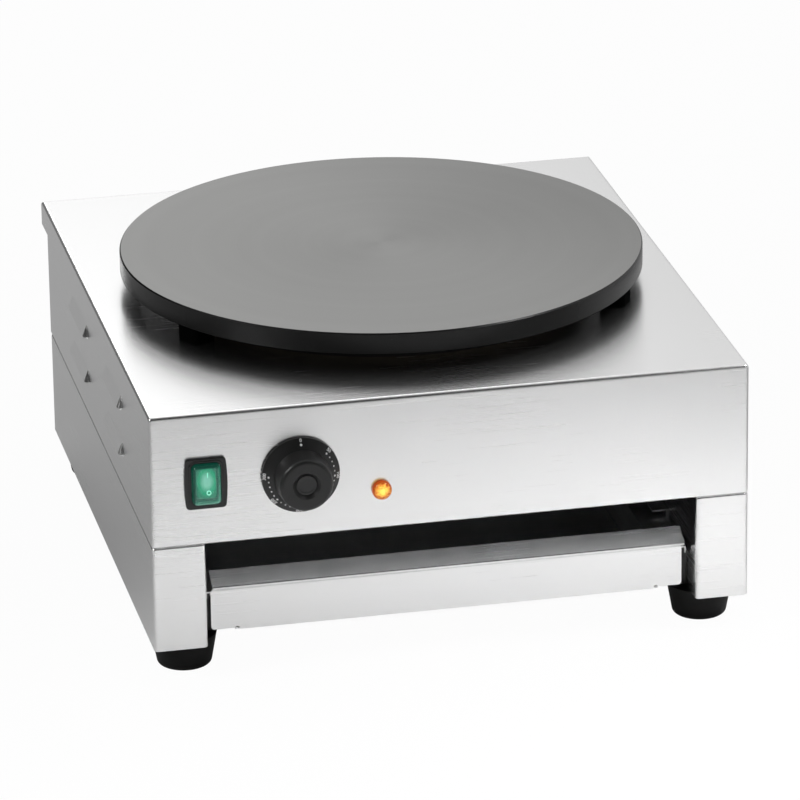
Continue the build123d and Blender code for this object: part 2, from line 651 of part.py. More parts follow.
def plate_nuts():
    """Nuts on the studs, under their washers."""
    nuts = []
    for x, y in [about_plate(angle, LUG_R) for angle in lug_places()]:
        top = Z_TOP - SHEET - WASHER_T
        nut = hex_post(x, y, top - NUT_H, top, STUD_D * 0.92)
        nuts.append(nut - post(x, y, top - 2 * NUT_H, top + FIT, STUD_D / 2 + SHAFT_PLAY))
    return nuts


def element_pan():
    """Spun steel dish that hangs in the cover's round opening."""
    sheet = PAN_SHEET
    wall = PAN_R - sheet
    outline = [(0, Z_PAN), (PAN_R, Z_PAN), (PAN_R, Z_TOP), (PAN_R + PAN_FLANGE, Z_TOP)]
    outline += [(PAN_R + PAN_FLANGE, Z_TOP + sheet), (wall, Z_TOP + sheet), (wall, Z_PAN + sheet)]
    outline += [(0, Z_PAN + sheet)]
    pan = Pos(0, Y_MID, 0) * revolve(Plane.XZ * make_face(Polyline(*outline, close=True)), Axis.Z)
    return with_feedthroughs(pan)


def with_feedthroughs(disc):
    """Cuts the holes for the clamp stud, the element's cold ends and the capillary."""
    low, high = Z_PAN - FIT, Z_UNDER
    disc -= post(0, Y_MID, low, high, STUD_D / 2 + HOLE_PLAY)
    for x, y in cold_ends():
        disc -= post(x, y, low, high, ELEMENT_D / 2 + ELEMENT_HOLE_PLAY)
    x, y = capillary_drop()
    return disc - post(x, y, low, high, CABLE_HOLE_R)


def insulation_disc():
    """Mineral wool pad that fills the pan up to the clamp disc."""
    pad = post(0, Y_MID, Z_PAN + PAN_SHEET, Z_CLAMP - CLAMP_T, PAN_R - PAN_SHEET - FIT)
    return with_feedthroughs(pad)


def clamp_disc():
    """Steel disc that presses the element against the plate."""
    return with_feedthroughs(post(0, Y_MID, Z_CLAMP - CLAMP_T, Z_CLAMP, ELEMENT_R + ELEMENT_D / 2))


def cold_end_angle(radius):
    """Angle at which an element end turns down, an elbow's radius past the end of its pass."""
    return 90 + ELEMENT_BREAK, math.degrees(math.atan2(ELEMENT_ELBOW_R, radius))


def cold_ends():
    """Places where the element's two ends point down."""
    places = []
    for radius in (ELEMENT_R, ELEMENT_IN_R):
        angle, step = cold_end_angle(radius)
        places.append(about_plate(angle - step, math.hypot(radius, ELEMENT_ELBOW_R)))
    return places


def heating_element():
    """Tubular heater: concentric passes joined by half-circle turns, both ends bent down."""
    start, stop = 90 + ELEMENT_BREAK, 450 - ELEMENT_BREAK
    section = Plane.XZ * Circle(ELEMENT_D / 2)
    parts = []
    for index in range(ELEMENT_PASSES):
        radius = ELEMENT_R - index * ELEMENT_PITCH
        ring = revolve(Pos(radius, 0, 0) * section, Axis.Z, stop - start)
        parts.append(Rot(0, 0, start) * ring)
        if index < ELEMENT_PASSES - 1:
            angle = stop if index % 2 == 0 else start
            turn = revolve(Pos(ELEMENT_PITCH / 2, 0, 0) * section, Axis.Z, 180)
            flip = 0 if index % 2 == 0 else 180
            parts.append(Rot(0, 0, angle) * Pos(radius - ELEMENT_PITCH / 2, 0, 0) * Rot(0, 0, flip) * turn)
    for radius in (ELEMENT_R, ELEMENT_IN_R):
        elbow = Pos(0, 0, 0) * revolve(Pos(ELEMENT_ELBOW_R, 0, 0) * section, Axis.Z, 90)
        elbow = Pos(radius, 0, -ELEMENT_ELBOW_R) * Rot(0, 90, 0) * Rot(0, 0, 180) * elbow
        leg = post(radius, -ELEMENT_ELBOW_R, -ELEMENT_ELBOW_R - ELEMENT_LEG, -ELEMENT_ELBOW_R,
                   ELEMENT_D / 2)
        parts.append(Rot(0, 0, start) * (elbow + leg))
    element = parts[0]
    for piece in parts[1:]:
        element += piece
    return Pos(0, Y_MID, Z_ELEMENT) * element


def clamp_stud():
    """Stud in the plate's middle boss that carries the clamp disc and the pan."""
    return post(0, Y_MID, Z_PAN - WASHER_T - NUT_H - SHEET, Z_UNDER + PLATE_T / 2 - FIT, STUD_D / 2)


def clamp_nut():
    """Flange nut under the pan."""
    nut = post(0, Y_MID, Z_PAN - WASHER_T, Z_PAN, STUD_D * 1.2)
    nut += hex_post(0, Y_MID, Z_PAN - WASHER_T - NUT_H, Z_PAN - WASHER_T, STUD_D * 0.92)
    return nut - post(0, Y_MID, Z_PAN - 2 * NUT_H, Z_PAN + FIT, STUD_D / 2 + SHAFT_PLAY)


# ---------------------------------------------------------------- thermostat
def thermostat_screw_levels():
    """Heights of the two thermostat screws."""
    return Z_KNOB - THERMOSTAT_SCREW_PITCH / 2, Z_KNOB + THERMOSTAT_SCREW_PITCH / 2


def thermostat_body():
    """Capillary thermostat behind the panel, with its bush and tab terminals."""
    half_w, half_h = THERMOSTAT_W / 2, THERMOSTAT_H / 2
    rear = Y_INSIDE + THERMOSTAT_D
    body = block((X_KNOB - half_w, X_KNOB + half_w), (Y_INSIDE, rear),
                 (Z_KNOB - half_h, Z_KNOB + half_h))
    body = chamfer(body.edges().filter_by(Axis.Y), BEND_R)
    body += rod(X_KNOB, Z_KNOB, Y_FRONT, Y_INSIDE + FIT, BUSH_R)
    for x in (X_KNOB - half_w / 2, X_KNOB + half_w / 2):
        body += block((x - SHEET * 3, x + SHEET * 3), (rear - FIT, rear + 3 * BEND_R),
                      (Z_KNOB - SHEET / 3, Z_KNOB + SHEET / 3))
    body -= rod(X_KNOB, Z_KNOB, Y_FRONT - FIT, rear - THERMOSTAT_D / 3, SHAFT_D / 2 + SHAFT_PLAY)
    for z in thermostat_screw_levels():
        body -= rod(X_KNOB, z, Y_FRONT, Y_INSIDE + 2 * SMALL_SCREW_D + FIT, SMALL_SCREW_D / 2 + SHAFT_PLAY)
    return body


def thermostat_screws():
    """Two screws through the panel, their heads under the knob's skirt."""
    screws = []
    for z in thermostat_screw_levels():
        head = pan_head(Pos(X_KNOB, Y_FRONT, z) * Rot(90, 0, 0), SMALL_HEAD_R, SMALL_HEAD_H)
        screws.append(head + rod(X_KNOB, z, Y_FRONT - FIT, Y_INSIDE + 2 * SMALL_SCREW_D, SMALL_SCREW_D / 2))
    return screws


def thermostat_shaft():
    """Steel spindle that the knob turns."""
    return rod(X_KNOB, Z_KNOB, Y_FRONT - KNOB_REACH + 3 * KNOB_WALL,
               Y_INSIDE + THERMOSTAT_D * 2 / 3 - FIT, SHAFT_D / 2)


def knob():
    """Moulded knob: a conical dial skirt and a hollow round grip with a sunk face."""
    foot_out = KNOB_GAP + SKIRT_EDGE
    grip_out = foot_out + SKIRT_RISE
    ceiling = KNOB_REACH - KNOB_WALL - CAP_DEPTH
    hollow_out = grip_out - KNOB_WALL
    outline = [(0, foot_out), (SKIRT_RECESS_R, foot_out), (SKIRT_RECESS_R, KNOB_GAP), (SKIRT_R, KNOB_GAP)]
    outline += [(SKIRT_R, foot_out), (GRIP_R, grip_out), (GRIP_TIP_R, KNOB_REACH)]
    floor_out = KNOB_REACH - CAP_DEPTH
    outline += [(CAP_R, KNOB_REACH), (CAP_R - CAP_SLOPE, floor_out), (0, floor_out)]
    form = turned(outline, X_KNOB, Z_KNOB)
    shoulder = [e for e in form.edges().filter_by(GeomType.CIRCLE)
                if abs(e.radius - GRIP_TIP_R) < SHAFT_PLAY]
    form = fillet(shoulder, GRIP_ROUND_R)
    inner = GRIP_TIP_R - KNOB_WALL
    hollow = [(KNOB_BOSS_R, 0), (inner, 0), (inner, ceiling), (KNOB_BOSS_R, ceiling)]
    form -= turned(hollow, X_KNOB, Z_KNOB)
    for turn in range(3):
        rib = block((0, inner + FIT), (-KNOB_WALL / 4, KNOB_WALL / 4), (hollow_out, ceiling + FIT))
        rib = Rot(90, 0, 0) * Rot(0, 0, 120 * turn) * rib
        form += Pos(X_KNOB, Y_FRONT, Z_KNOB) * rib
    bore = Y_FRONT - KNOB_REACH + 3 * KNOB_WALL - FIT
    return form - rod(X_KNOB, Z_KNOB, bore, Y_FRONT, SHAFT_D / 2 + SHAFT_PLAY)


def knob_cap():
    """Round inset in the knob's face, slightly dished."""
    low, high = KNOB_REACH - CAP_DEPTH, KNOB_REACH - CAP_DEPTH + CAP_T
    edge = CAP_R - CAP_SLOPE - FIT
    outline = [(0, low), (edge, low), (edge, high), (edge * 0.85, high), (edge * 0.7, high - CAP_T / 3)]
    return turned(outline + [(0, high - CAP_T / 3)], X_KNOB, Z_KNOB)


def bulb_height():
    """Middle of the sensing bulb, just under the plate."""
    return Z_UNDER - BULB_D / 2 - SHAFT_PLAY


def sensing_bulb():
    """Liquid-filled bulb clamped under the plate."""
    y = Y_MID + BULB_Y
    bulb = bar(y, bulb_height(), -BULB_L / 2, BULB_L / 2, BULB_D / 2)
    return fillet(bulb.edges().filter_by(GeomType.CIRCLE), BULB_D / 5)


def capillary_drop():
    """Place where the capillary goes down through the discs."""
    return -CAPILLARY_OUT, Y_MID + BULB_Y


def capillary_tube():
    """Capillary from the bulb to the thermostat, straight runs joined by arcs."""
    x, y = capillary_drop()
    under = (Z_PAN + Z_KNOB + THERMOSTAT_H / 2) / 2
    rear = Y_INSIDE + THERMOSTAT_D
    inlet = Z_KNOB + THERMOSTAT_H / 4
    start = (-BULB_L / 2, y, bulb_height())
    points = [start, (x, y, bulb_height()), (x, y, under), (X_KNOB, rear + 4 * CAPILLARY_BEND_R, under)]
    points += [(X_KNOB, rear + 3 * CAPILLARY_BEND_R, inlet), (X_KNOB, rear, inlet)]
    path = FilletPolyline(*points, radius=CAPILLARY_BEND_R)
    section = Plane(origin=start, z_dir=(-1, 0, 0)) * Circle(CAPILLARY_D / 2)
    return sweep(section, path)


# ---------------------------------------------------------------- switch and lamp
def barrel_face(width, height, bulge, corner):
    """Upright outline whose long sides bow out, with round corners."""
    w, h = width / 2, height / 2
    edge = Line((-w, h), (w, h)) + ThreePointArc((w, h), (w + bulge, 0), (w, -h))
    edge += Line((w, -h), (-w, -h)) + ThreePointArc((-w, -h), (-w - bulge, 0), (-w, h))
    face = make_face(edge)
    return fillet(face.vertices(), corner)


def on_panel(sketch, x, z, low, high):
    """Sketch on the front panel, standing between two distances out of it."""
    return Pos(x, Y_FRONT - low, z) * extrude(Plane.XZ * sketch, high - low)


def switch_bezel():
    """Black frame of the switch, rounded towards its window."""
    outline = barrel_face(BEZEL_W, BEZEL_H, BEZEL_BULGE, BEZEL_CORNER_R)
    bezel = on_panel(outline, X_SWITCH, Z_SWITCH, 0, BEZEL_T)
    bezel = fillet(bezel.faces().sort_by(Axis.Y)[0].edges(), BEZEL_T / 3)
    window = RectangleRounded(WINDOW_W, WINDOW_H, WINDOW_CORNER_R)
    return bezel - on_panel(window, X_SWITCH, Z_SWITCH, -FIT, BEZEL_T + FIT)


def bearing_end():
    """Half width over the rocker's bearings, just inside the boot."""
    return WINDOW_W / 2 - BOOT_T - 2 * FIT


def switch_body():
    """Switch case through the panel, with a well and bearings for the rocker."""
    half_w, half_h = SWITCH_W / 2, SWITCH_H / 2
    front, rear = Y_FRONT - BEZEL_T / 2 - PIVOT_R * 2, Y_FRONT + SWITCH_D
    case = block((X_SWITCH - half_w, X_SWITCH + half_w), (Y_FRONT, rear),
                 (Z_SWITCH - half_h, Z_SWITCH + half_h))
    well_w, well_h = ROCKER_W / 2 + ROCKER_PLAY, ROCKER_L / 2 + 2 * ROCKER_PLAY
    cheek = bearing_end()
    case += block((X_SWITCH - cheek, X_SWITCH + cheek), (front, Y_FRONT + FIT),
                  (Z_SWITCH - 3 * PIVOT_R, Z_SWITCH + 3 * PIVOT_R))
    case -= block((X_SWITCH - well_w, X_SWITCH + well_w), (front - FIT, Y_FRONT + SWITCH_D / 3),
                  (Z_SWITCH - well_h, Z_SWITCH + well_h))
    case -= bar(Y_PIVOT, Z_SWITCH, X_SWITCH - cheek - FIT, X_SWITCH + cheek + FIT, PIVOT_R + PIVOT_PLAY)
    for level in (-1, 0, 1):
        z = Z_SWITCH + level * SWITCH_H / 3
        case += block((X_SWITCH - 3 * SHEET, X_SWITCH + 3 * SHEET), (rear - FIT, rear + 3 * BEND_R),
                      (z - SHEET / 3, z + SHEET / 3))
    return case


def switch_rocker():
    """Rocker on two trunnions, tipped to the on side."""
    half_l = ROCKER_L / 2
    front, back = -ROCKER_T, ROCKER_T * 1.4
    edge = Line((front, -half_l), (back, -half_l * 0.6)) + Line((back, -half_l * 0.6), (back, half_l * 0.6))
    edge += Line((back, half_l * 0.6), (front, half_l))
    edge += ThreePointArc((front, half_l), (front + ROCKER_DIP, 0), (front, -half_l))
    rocker = extrude(Plane.YZ.offset(-ROCKER_W / 2) * make_face(edge), ROCKER_W)
    outline = Plane.XZ * RectangleRounded(ROCKER_W, ROCKER_L, ROCKER_CORNER_R)
    rocker &= extrude(outline, ROCKER_L, both=True)
    rocker = fillet(rocker.faces().sort_by(Axis.Y)[0].edges(), ROCKER_PLAY)
    pin = bearing_end() - FIT
    rocker += bar(0, 0, -pin, pin, PIVOT_R)
    return Pos(X_SWITCH, Y_PIVOT, Z_SWITCH) * Rot(-ROCKER_THROW / 2, 0, 0) * rocker


def switch_boot():
    """Clear waterproof cap over the rocker, its skirt inside the bezel."""
    outer = RectangleRounded(WINDOW_W - 2 * FIT, WINDOW_H - 2 * FIT, WINDOW_CORNER_R - FIT)
    boot = on_panel(outer, X_SWITCH, Z_SWITCH, 0, BOOT_REACH)
    boot = fillet(boot.faces().sort_by(Axis.Y)[0].edges(), BOOT_ROUND_R)
    thin = BOOT_T + FIT
    inner = RectangleRounded(WINDOW_W - 2 * thin, WINDOW_H - 2 * thin, WINDOW_CORNER_R - thin)
    room = on_panel(inner, X_SWITCH, Z_SWITCH, -FIT, BOOT_REACH - BOOT_T)
    room = fillet(room.faces().sort_by(Axis.Y)[0].edges(), BOOT_ROUND_R - BOOT_T)
    return boot - room


def pilot_lens():
    """Amber dome of the pilot lamp."""
    dome = on_panel(Circle(LAMP_R), X_LAMP, Z_LAMP, 0, LAMP_REACH)
    front = dome.faces().sort_by(Axis.Y)[0].edges()
    return fillet(front, LAMP_REACH - LAMP_BASE)


def pilot_body():
    """Lamp holder through the panel with two tab terminals."""
    rear = Y_FRONT + LAMP_BODY_L
    body = rod(X_LAMP, Z_LAMP, Y_FRONT, rear, LAMP_BODY_R)
    for side in (-1, 1):
        x = X_LAMP + side * LAMP_BODY_R / 2
        body += block((x - SHEET / 3, x + SHEET / 3), (rear - FIT, rear + 3 * BEND_R),
                      (Z_LAMP - 2 * SHEET, Z_LAMP + 2 * SHEET))
    return body


def pilot_nut():
    """Nut that holds the lamp to the panel."""
    nut = hex_rod(X_LAMP, Z_LAMP, Y_INSIDE, Y_INSIDE + LAMP_NUT_H, LAMP_NUT_R)
    return nut - rod(X_LAMP, Z_LAMP, Y_FRONT, Y_FRONT + LAMP_BODY_L, LAMP_BODY_R + SHAFT_PLAY)


# ---------------------------------------------------------------- supply
def cable_gland():
    """Gland in the rear panel: thread, hexagon and domed cap around the cable's bore."""
    seat = Y_BACK - SHEET
    gland = hex_rod(X_GLAND, Z_GLAND, seat, seat + GLAND_HEX_L, GLAND_HEX_R)
    dome = rod(X_GLAND, Z_GLAND, seat + GLAND_HEX_L, seat + GLAND_HEX_L + GLAND_DOME_L, GLAND_HEX_R * 0.86)
    gland += chamfer(dome.faces().sort_by(Axis.Y)[-1].edges(), GLAND_HEX_R / 4)
    gland += rod(X_GLAND, Z_GLAND, seat - GLAND_THREAD_L, seat + FIT, GLAND_THREAD_R)
    ends = (seat - GLAND_THREAD_L - FIT, seat + GLAND_HEX_L + GLAND_DOME_L + FIT)
    return gland - rod(X_GLAND, Z_GLAND, *ends, GLAND_BORE_R)


def gland_nut():
    """Lock nut of the gland, inside the housing."""
    seat = Y_BACK - 2 * SHEET
    nut = hex_rod(X_GLAND, Z_GLAND, seat - GLAND_NUT_L, seat, GLAND_HEX_R)
    return nut - rod(X_GLAND, Z_GLAND, seat - 2 * GLAND_NUT_L, seat + FIT, GLAND_THREAD_R + SHAFT_PLAY)


def terminal_place():
    """Middle of the terminal block on the heat shield."""
    return X_GLAND, Y_BACK - 4 * BLOCK_W, Z_SHIELD + SHEET


def terminal_block():
    """Three-pole ceramic block with wire entries and screw wells."""
    x, y, z = terminal_place()
    form = block((x - BLOCK_L / 2, x + BLOCK_L / 2), (y - BLOCK_W / 2, y + BLOCK_W / 2), (z, z + BLOCK_H))
    form = fillet(form.edges().filter_by(Axis.Z), BEND_R)
    for pole in range(BLOCK_POLES):
        px = x + (pole - (BLOCK_POLES - 1) / 2) * BLOCK_L / BLOCK_POLES
        form -= rod(px, z + BLOCK_H / 3, y - BLOCK_W, y + BLOCK_W, SMALL_SCREW_D * 0.7)
        for end in (-1, 1):
            form -= post(px, y + end * BLOCK_W / 4, z + BLOCK_H / 3, z + BLOCK_H + FIT, SMALL_SCREW_D / 2)
    return form


def earth_stud():
    """Earthing stud on the heat shield with its nut."""
    x, y, z = terminal_place()
    y -= EARTH_FROM_BLOCK + BLOCK_W / 2
    stud = post(x, y, z, z + EARTH_L, EARTH_D / 2)
    return stud + hex_post(x, y, z, z + EARTH_D, EARTH_D)


# ---------------------------------------------------------------- assembly
def sub_parts():
    """Every sub-part by its node's name; a list holds identical loose pieces."""
    parts = {"top_cover": top_cover(), "rear_panel": rear_panel(), "rear_screws": rear_screws()}
    parts.update(heat_shield=heat_shield(), rear_cross_panel=rear_cross_panel())
    for name, side in (("left", -1), ("right", 1)):
        parts["leg_box_" + name] = leg_box(side)
        parts["leg_strip_" + name] = leg_strip(side)
        parts["rail_" + name] = rail(side)
        for end, y in zip(("front", "rear"), foot_ends()):
            parts["foot_" + end + "_" + name] = foot(side, y)
    parts.update(foot_screws=foot_screws(), foot_nuts=foot_nuts(), rail_screws=rail_screws())
    parts.update(drawer_tray=drawer_tray(), drawer_front=drawer_front())
    parts.update(cooking_plate=cooking_plate(), plate_studs=plate_studs(), plate_washers=plate_washers())
    parts.update(plate_nuts=plate_nuts(), element_pan=element_pan(), insulation_disc=insulation_disc())
    parts.update(clamp_disc=clamp_disc(), heating_element=heating_element(), clamp_stud=clamp_stud())
    parts.update(clamp_nut=clamp_nut(), sensing_bulb=sensing_bulb(), capillary_tube=capillary_tube())
    parts.update(thermostat_body=thermostat_body(), thermostat_screws=thermostat_screws())
    parts.update(thermostat_shaft=thermostat_shaft(), knob=knob(), knob_cap=knob_cap())
    parts.update(switch_bezel=switch_bezel(), switch_body=switch_body(), switch_rocker=switch_rocker())
    parts.update(switch_boot=switch_boot(), pilot_lens=pilot_lens(), pilot_body=pilot_body())
    parts.update(pilot_nut=pilot_nut(), cable_gland=cable_gland(), gland_nut=gland_nut())
    parts.update(terminal_block=terminal_block(), earth_stud=earth_stud())
    return parts


def main():
    os.makedirs("parts", exist_ok=True)
    for name, shape in sub_parts().items():
        if isinstance(shape, list):
            shape = Compound(children=[piece.solid() for piece in shape])
        export_step(shape, "parts/" + name + ".step")


main()
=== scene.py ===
"""Looks of the electric crepe maker: finishes, printed marks, small fittings, floor, light and camera."""
from math import cos, hypot, pi, radians, sin

import bmesh
import bpy
from mathutils import Matrix, Vector


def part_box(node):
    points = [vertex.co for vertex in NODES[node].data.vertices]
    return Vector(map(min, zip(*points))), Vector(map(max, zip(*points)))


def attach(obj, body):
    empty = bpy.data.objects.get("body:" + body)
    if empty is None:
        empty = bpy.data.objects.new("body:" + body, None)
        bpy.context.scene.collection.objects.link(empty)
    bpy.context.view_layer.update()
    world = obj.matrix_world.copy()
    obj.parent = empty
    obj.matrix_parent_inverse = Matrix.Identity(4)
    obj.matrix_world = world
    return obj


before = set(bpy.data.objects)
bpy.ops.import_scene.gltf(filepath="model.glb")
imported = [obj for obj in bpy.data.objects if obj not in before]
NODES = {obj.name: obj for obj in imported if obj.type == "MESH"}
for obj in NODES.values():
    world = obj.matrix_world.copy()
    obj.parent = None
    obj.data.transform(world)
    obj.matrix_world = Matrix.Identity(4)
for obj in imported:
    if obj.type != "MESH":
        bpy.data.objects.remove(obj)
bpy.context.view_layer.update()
MM = 0.001


def middle(node):
    """Middle of a CAD node at rest, in mm."""
    low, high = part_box(node)
    return [(a + b) / 2 / MM for a, b in zip(low, high)]


# ---------------------------------------------------------------- places that several pieces share, in mm
Y_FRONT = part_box("top_cover")[0][1] / MM          # front face of the housing
KNOB_X, _, KNOB_Z = middle("knob")
SWITCH_X, _, SWITCH_Z = middle("switch_boot")
LAMP_X, _, LAMP_Z = middle("pilot_lens")
LENS_R = 7.4                                      # radius of the lamp's lens
PLATE_Y = middle("cooking_plate")[1]
RIM_H = 17.0                                      # height of the plate's rim
RIM_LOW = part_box("cooking_plate")[1][2] / MM - RIM_H

INK = 0.06               # thickness of a printed mark
MARK_LIFT = 0.02         # between a mark and what it is printed on


# ---------------------------------------------------------------- helpers for pieces
SIZE_PER_CAPITAL = 1.38  # size of the font over the height of its capitals
BOLD = 0.03              # how far a letter's outline grows, as a share of that height


def add_piece(name, form, finish, body, smooth=True):
    """A new object from a bmesh in metres, riding on a body of the model."""
    mesh = bpy.data.meshes.new(name)
    form.to_mesh(mesh)
    form.free()
    piece = bpy.data.objects.new(name, mesh)
    bpy.context.scene.collection.objects.link(piece)
    piece.data.materials.append(finish)
    if smooth:
        mesh.set_sharp_from_angle(angle=radians(35))
    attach(piece, body)
    return piece


def written(text, height):
    """A bmesh of flat lettering, centred on the origin, its capitals of the given height."""
    curve = bpy.data.curves.new("lettering", "FONT")
    curve.body = text
    curve.size = height * SIZE_PER_CAPITAL
    curve.offset = height * BOLD
    curve.align_x = "CENTER"
    curve.align_y = "CENTER"
    curve.resolution_u = 4
    carrier = bpy.data.objects.new("lettering", curve)
    flat = bpy.data.meshes.new_from_object(carrier)
    form = bmesh.new()
    form.from_mesh(flat)
    bpy.data.objects.remove(carrier)
    bpy.data.curves.remove(curve)
    bpy.data.meshes.remove(flat)
    bmesh.ops.remove_doubles(form, verts=form.verts, dist=height * 1e-4)
    return form


def corners_of(made):
    """The vertices that an extrusion made."""
    return [v for v in made["geom"] if isinstance(v, bmesh.types.BMVert)]


def thicken(form, depth):
    """Gives a flat form in the XY plane a thickness towards +Z."""
    bmesh.ops.recalc_face_normals(form, faces=form.faces)
    grown = bmesh.ops.extrude_face_region(form, geom=list(form.faces))
    bmesh.ops.translate(form, verts=corners_of(grown), vec=(0, 0, depth))
    bmesh.ops.recalc_face_normals(form, faces=form.faces)


def join(forms):
    """One bmesh from several."""
    whole = bmesh.new()
    for form in forms:
        spare = bpy.data.meshes.new("spare")
        form.to_mesh(spare)
        form.free()
        whole.from_mesh(spare)
        bpy.data.meshes.remove(spare)
    return whole


def on_front(x, z, out):
    """Turns a form drawn in XY with Z towards the viewer onto the front panel, mm to metres."""
    turn = Matrix(((1, 0, 0), (0, 0, -1), (0, 1, 0))).to_4x4()
    return Matrix.Scale(MM, 4) @ Matrix.Translation((x, Y_FRONT - out, z)) @ turn


# ---------------------------------------------------------------- helpers for finishes
def grey(level):
    """A colour without a hue."""
    return (level, level, level)


class Tree:
    """Shader nodes of a material or of the world, with the steps that they share."""

    def __init__(self, owner):
        owner.use_nodes = True
        self.nodes = owner.node_tree.nodes
        self.links = owner.node_tree.links

    def node(self, kind, **settings):
        """A new node."""
        made = self.nodes.new(kind)
        for key, value in settings.items():
            setattr(made, key, value)
        return made

    def feed(self, socket, value):
        """Gives a socket a number, a colour or what another node puts out."""
        if isinstance(value, (int, float)):
            socket.default_value = value
        elif isinstance(value, tuple):
            socket.default_value = (*value, 1.0)
        else:
            self.links.new(value, socket)

    def math(self, operation, *values, clamp=False):
        """A number worked out from others."""
        made = self.node("ShaderNodeMath", operation=operation, use_clamp=clamp)
        for socket, value in zip(made.inputs, values):
            self.feed(socket, value)
        return made.outputs[0]

    def spread(self, value, low, high, start=0.0, end=1.0, smooth=False):
        """Maps a value from start..end to low..high, clamped."""
        ranged = self.node("ShaderNodeMapRange", interpolation_type="SMOOTHSTEP" if smooth else "LINEAR")
        self.feed(ranged.inputs["Value"], value)
        for key, number in (("From Min", start), ("From Max", end), ("To Min", low), ("To Max", high)):
            self.feed(ranged.inputs[key], number)
        return ranged.outputs["Result"]

    def mix(self, factor, low, high):
        """A number between two numbers."""
        mixed = self.node("ShaderNodeMix", data_type="FLOAT")
        self.feed(mixed.inputs["Factor"], factor)
        self.feed(mixed.inputs[2], low)
        self.feed(mixed.inputs[3], high)
        return mixed.outputs[0]

    def blend(self, factor, low, high):
        """A colour between two colours."""
        mixed = self.node("ShaderNodeMix", data_type="RGBA")
        self.feed(mixed.inputs["Factor"], factor)
        self.feed(mixed.inputs[6], low)
        self.feed(mixed.inputs[7], high)
        return mixed.outputs[2]

    def vector(self, *parts):
        """A vector from its first coordinates, the others 0."""
        made = self.node("ShaderNodeCombineXYZ")
        for socket, part in zip(made.inputs, parts):
            self.feed(socket, part)
        return made.outputs[0]

    def part(self, vector, axis):
        """One coordinate of a vector."""
        split = self.node("ShaderNodeSeparateXYZ")
        self.feed(split.inputs[0], vector)
        return split.outputs[axis]

    def length(self, vector):
        """Length of a vector."""
        made = self.node("ShaderNodeVectorMath", operation="LENGTH")
        self.feed(made.inputs[0], vector)
        return made.outputs["Value"]


class Finish(Tree):
    """A material on the standard surface shader, its patterns in the model's own coordinates."""

    def __init__(self, name, **sockets):
        self.material = bpy.data.materials.new(name)
        super().__init__(self.material)
        self.shader = self.nodes["Principled BSDF"]
        self.place = self.node("ShaderNodeTexCoord").outputs["Object"]
        self.give(**sockets)

    def give(self, **sockets):
        """Feeds sockets of the shader, named with _ for a space."""
        for socket, value in sockets.items():
            self.feed(self.shader.inputs[socket.replace("_", " ")], value)

    def tint(self, factor, low, high):
        """Base colour between two colours."""
        self.give(Base_Color=self.blend(factor, low, high))

    def bump(self, height, depth, strength):
        """Relief of the given depth in metres."""
        bump = self.node("ShaderNodeBump")
        self.feed(bump.inputs["Strength"], strength)
        self.feed(bump.inputs["Distance"], depth)
        self.feed(bump.inputs["Height"], height)
        self.give(Normal=bump.outputs["Normal"])

    def mapped(self, scale=(1, 1, 1), centre=(0, 0, 0)):
        """Coordinates in metres, moved to a centre and stretched."""
        mapping = self.node("ShaderNodeMapping")
        self.feed(mapping.inputs["Vector"], self.place)
        mapping.inputs["Scale"].default_value = scale
        mapping.inputs["Location"].default_value = [-c * s for c, s in zip(centre, scale)]
        return mapping.outputs["Vector"]

    def around(self, x, z, half_width, half_height):
        """Coordinates on the front panel round a place in mm: 1 at the half width and half height."""
        return self.mapped((1 / (half_width * MM), 0.0, 1 / (half_height * MM)), (x * MM, 0.0, z * MM))

    def noise(self, scale, stretch=(1, 1, 1), detail=3.0, roughness=0.5, distortion=0.0, along=None):
        """A cloudy pattern, over the stretched coordinates or along another vector."""
        noise = self.node("ShaderNodeTexNoise")
        self.feed(noise.inputs["Vector"], self.mapped(stretch) if along is None else along)
        self.feed(noise.inputs["Scale"], scale)
        self.feed(noise.inputs["Detail"], detail)
        self.feed(noise.inputs["Roughness"], roughness)
        self.feed(noise.inputs["Distortion"], distortion)
        return noise.outputs["Fac"]

    def direction(self):
        """Which way the surface faces."""
        return self.node("ShaderNodeNewGeometry").outputs["True Normal"]


# ---------------------------------------------------------------- finishes
def brushed(name, level, dull):
    """Brushed steel: fine streaks along X, and along Y on the faces that look sideways."""
    grain, stroke, contrast = 1300.0, 9.0, 0.003
    steel = Finish(name, Metallic=1.0, Anisotropic=0.6)
    lengthwise = steel.noise(1.0, (stroke, grain, grain), detail=4.0, roughness=0.6)
    inwards = steel.noise(1.0, (grain, stroke, grain), detail=4.0, roughness=0.6)
    direction = steel.direction()
    on_sides = steel.spread(steel.math("ABSOLUTE", steel.part(direction, "X")), 0.0, 1.0, 0.6, 0.8)
    streaks = steel.mix(on_sides, lengthwise, inwards)
    across = steel.node("ShaderNodeVectorMath", operation="CROSS_PRODUCT")
    steel.feed(across.inputs[0], direction)
    steel.feed(across.inputs[1], steel.blend(on_sides, (1.0, 0.0, 0.0), (0.0, 1.0, 0.0)))
    cloud = steel.noise(7.0, detail=2.0)
    shade = steel.math("ADD", steel.spread(streaks, 0.0, 0.8, 0.3, 0.7), steel.spread(cloud, 0.0, 0.2))
    steel.tint(shade, grey(level - contrast), grey(level + contrast))
    dull_streaks = steel.spread(streaks, dull - 0.004, dull + 0.004, 0.3, 0.7)
    steel.give(Tangent=across.outputs["Vector"],
               Roughness=steel.math("ADD", dull_streaks, steel.spread(cloud, -0.006, 0.006)))
    return steel.material


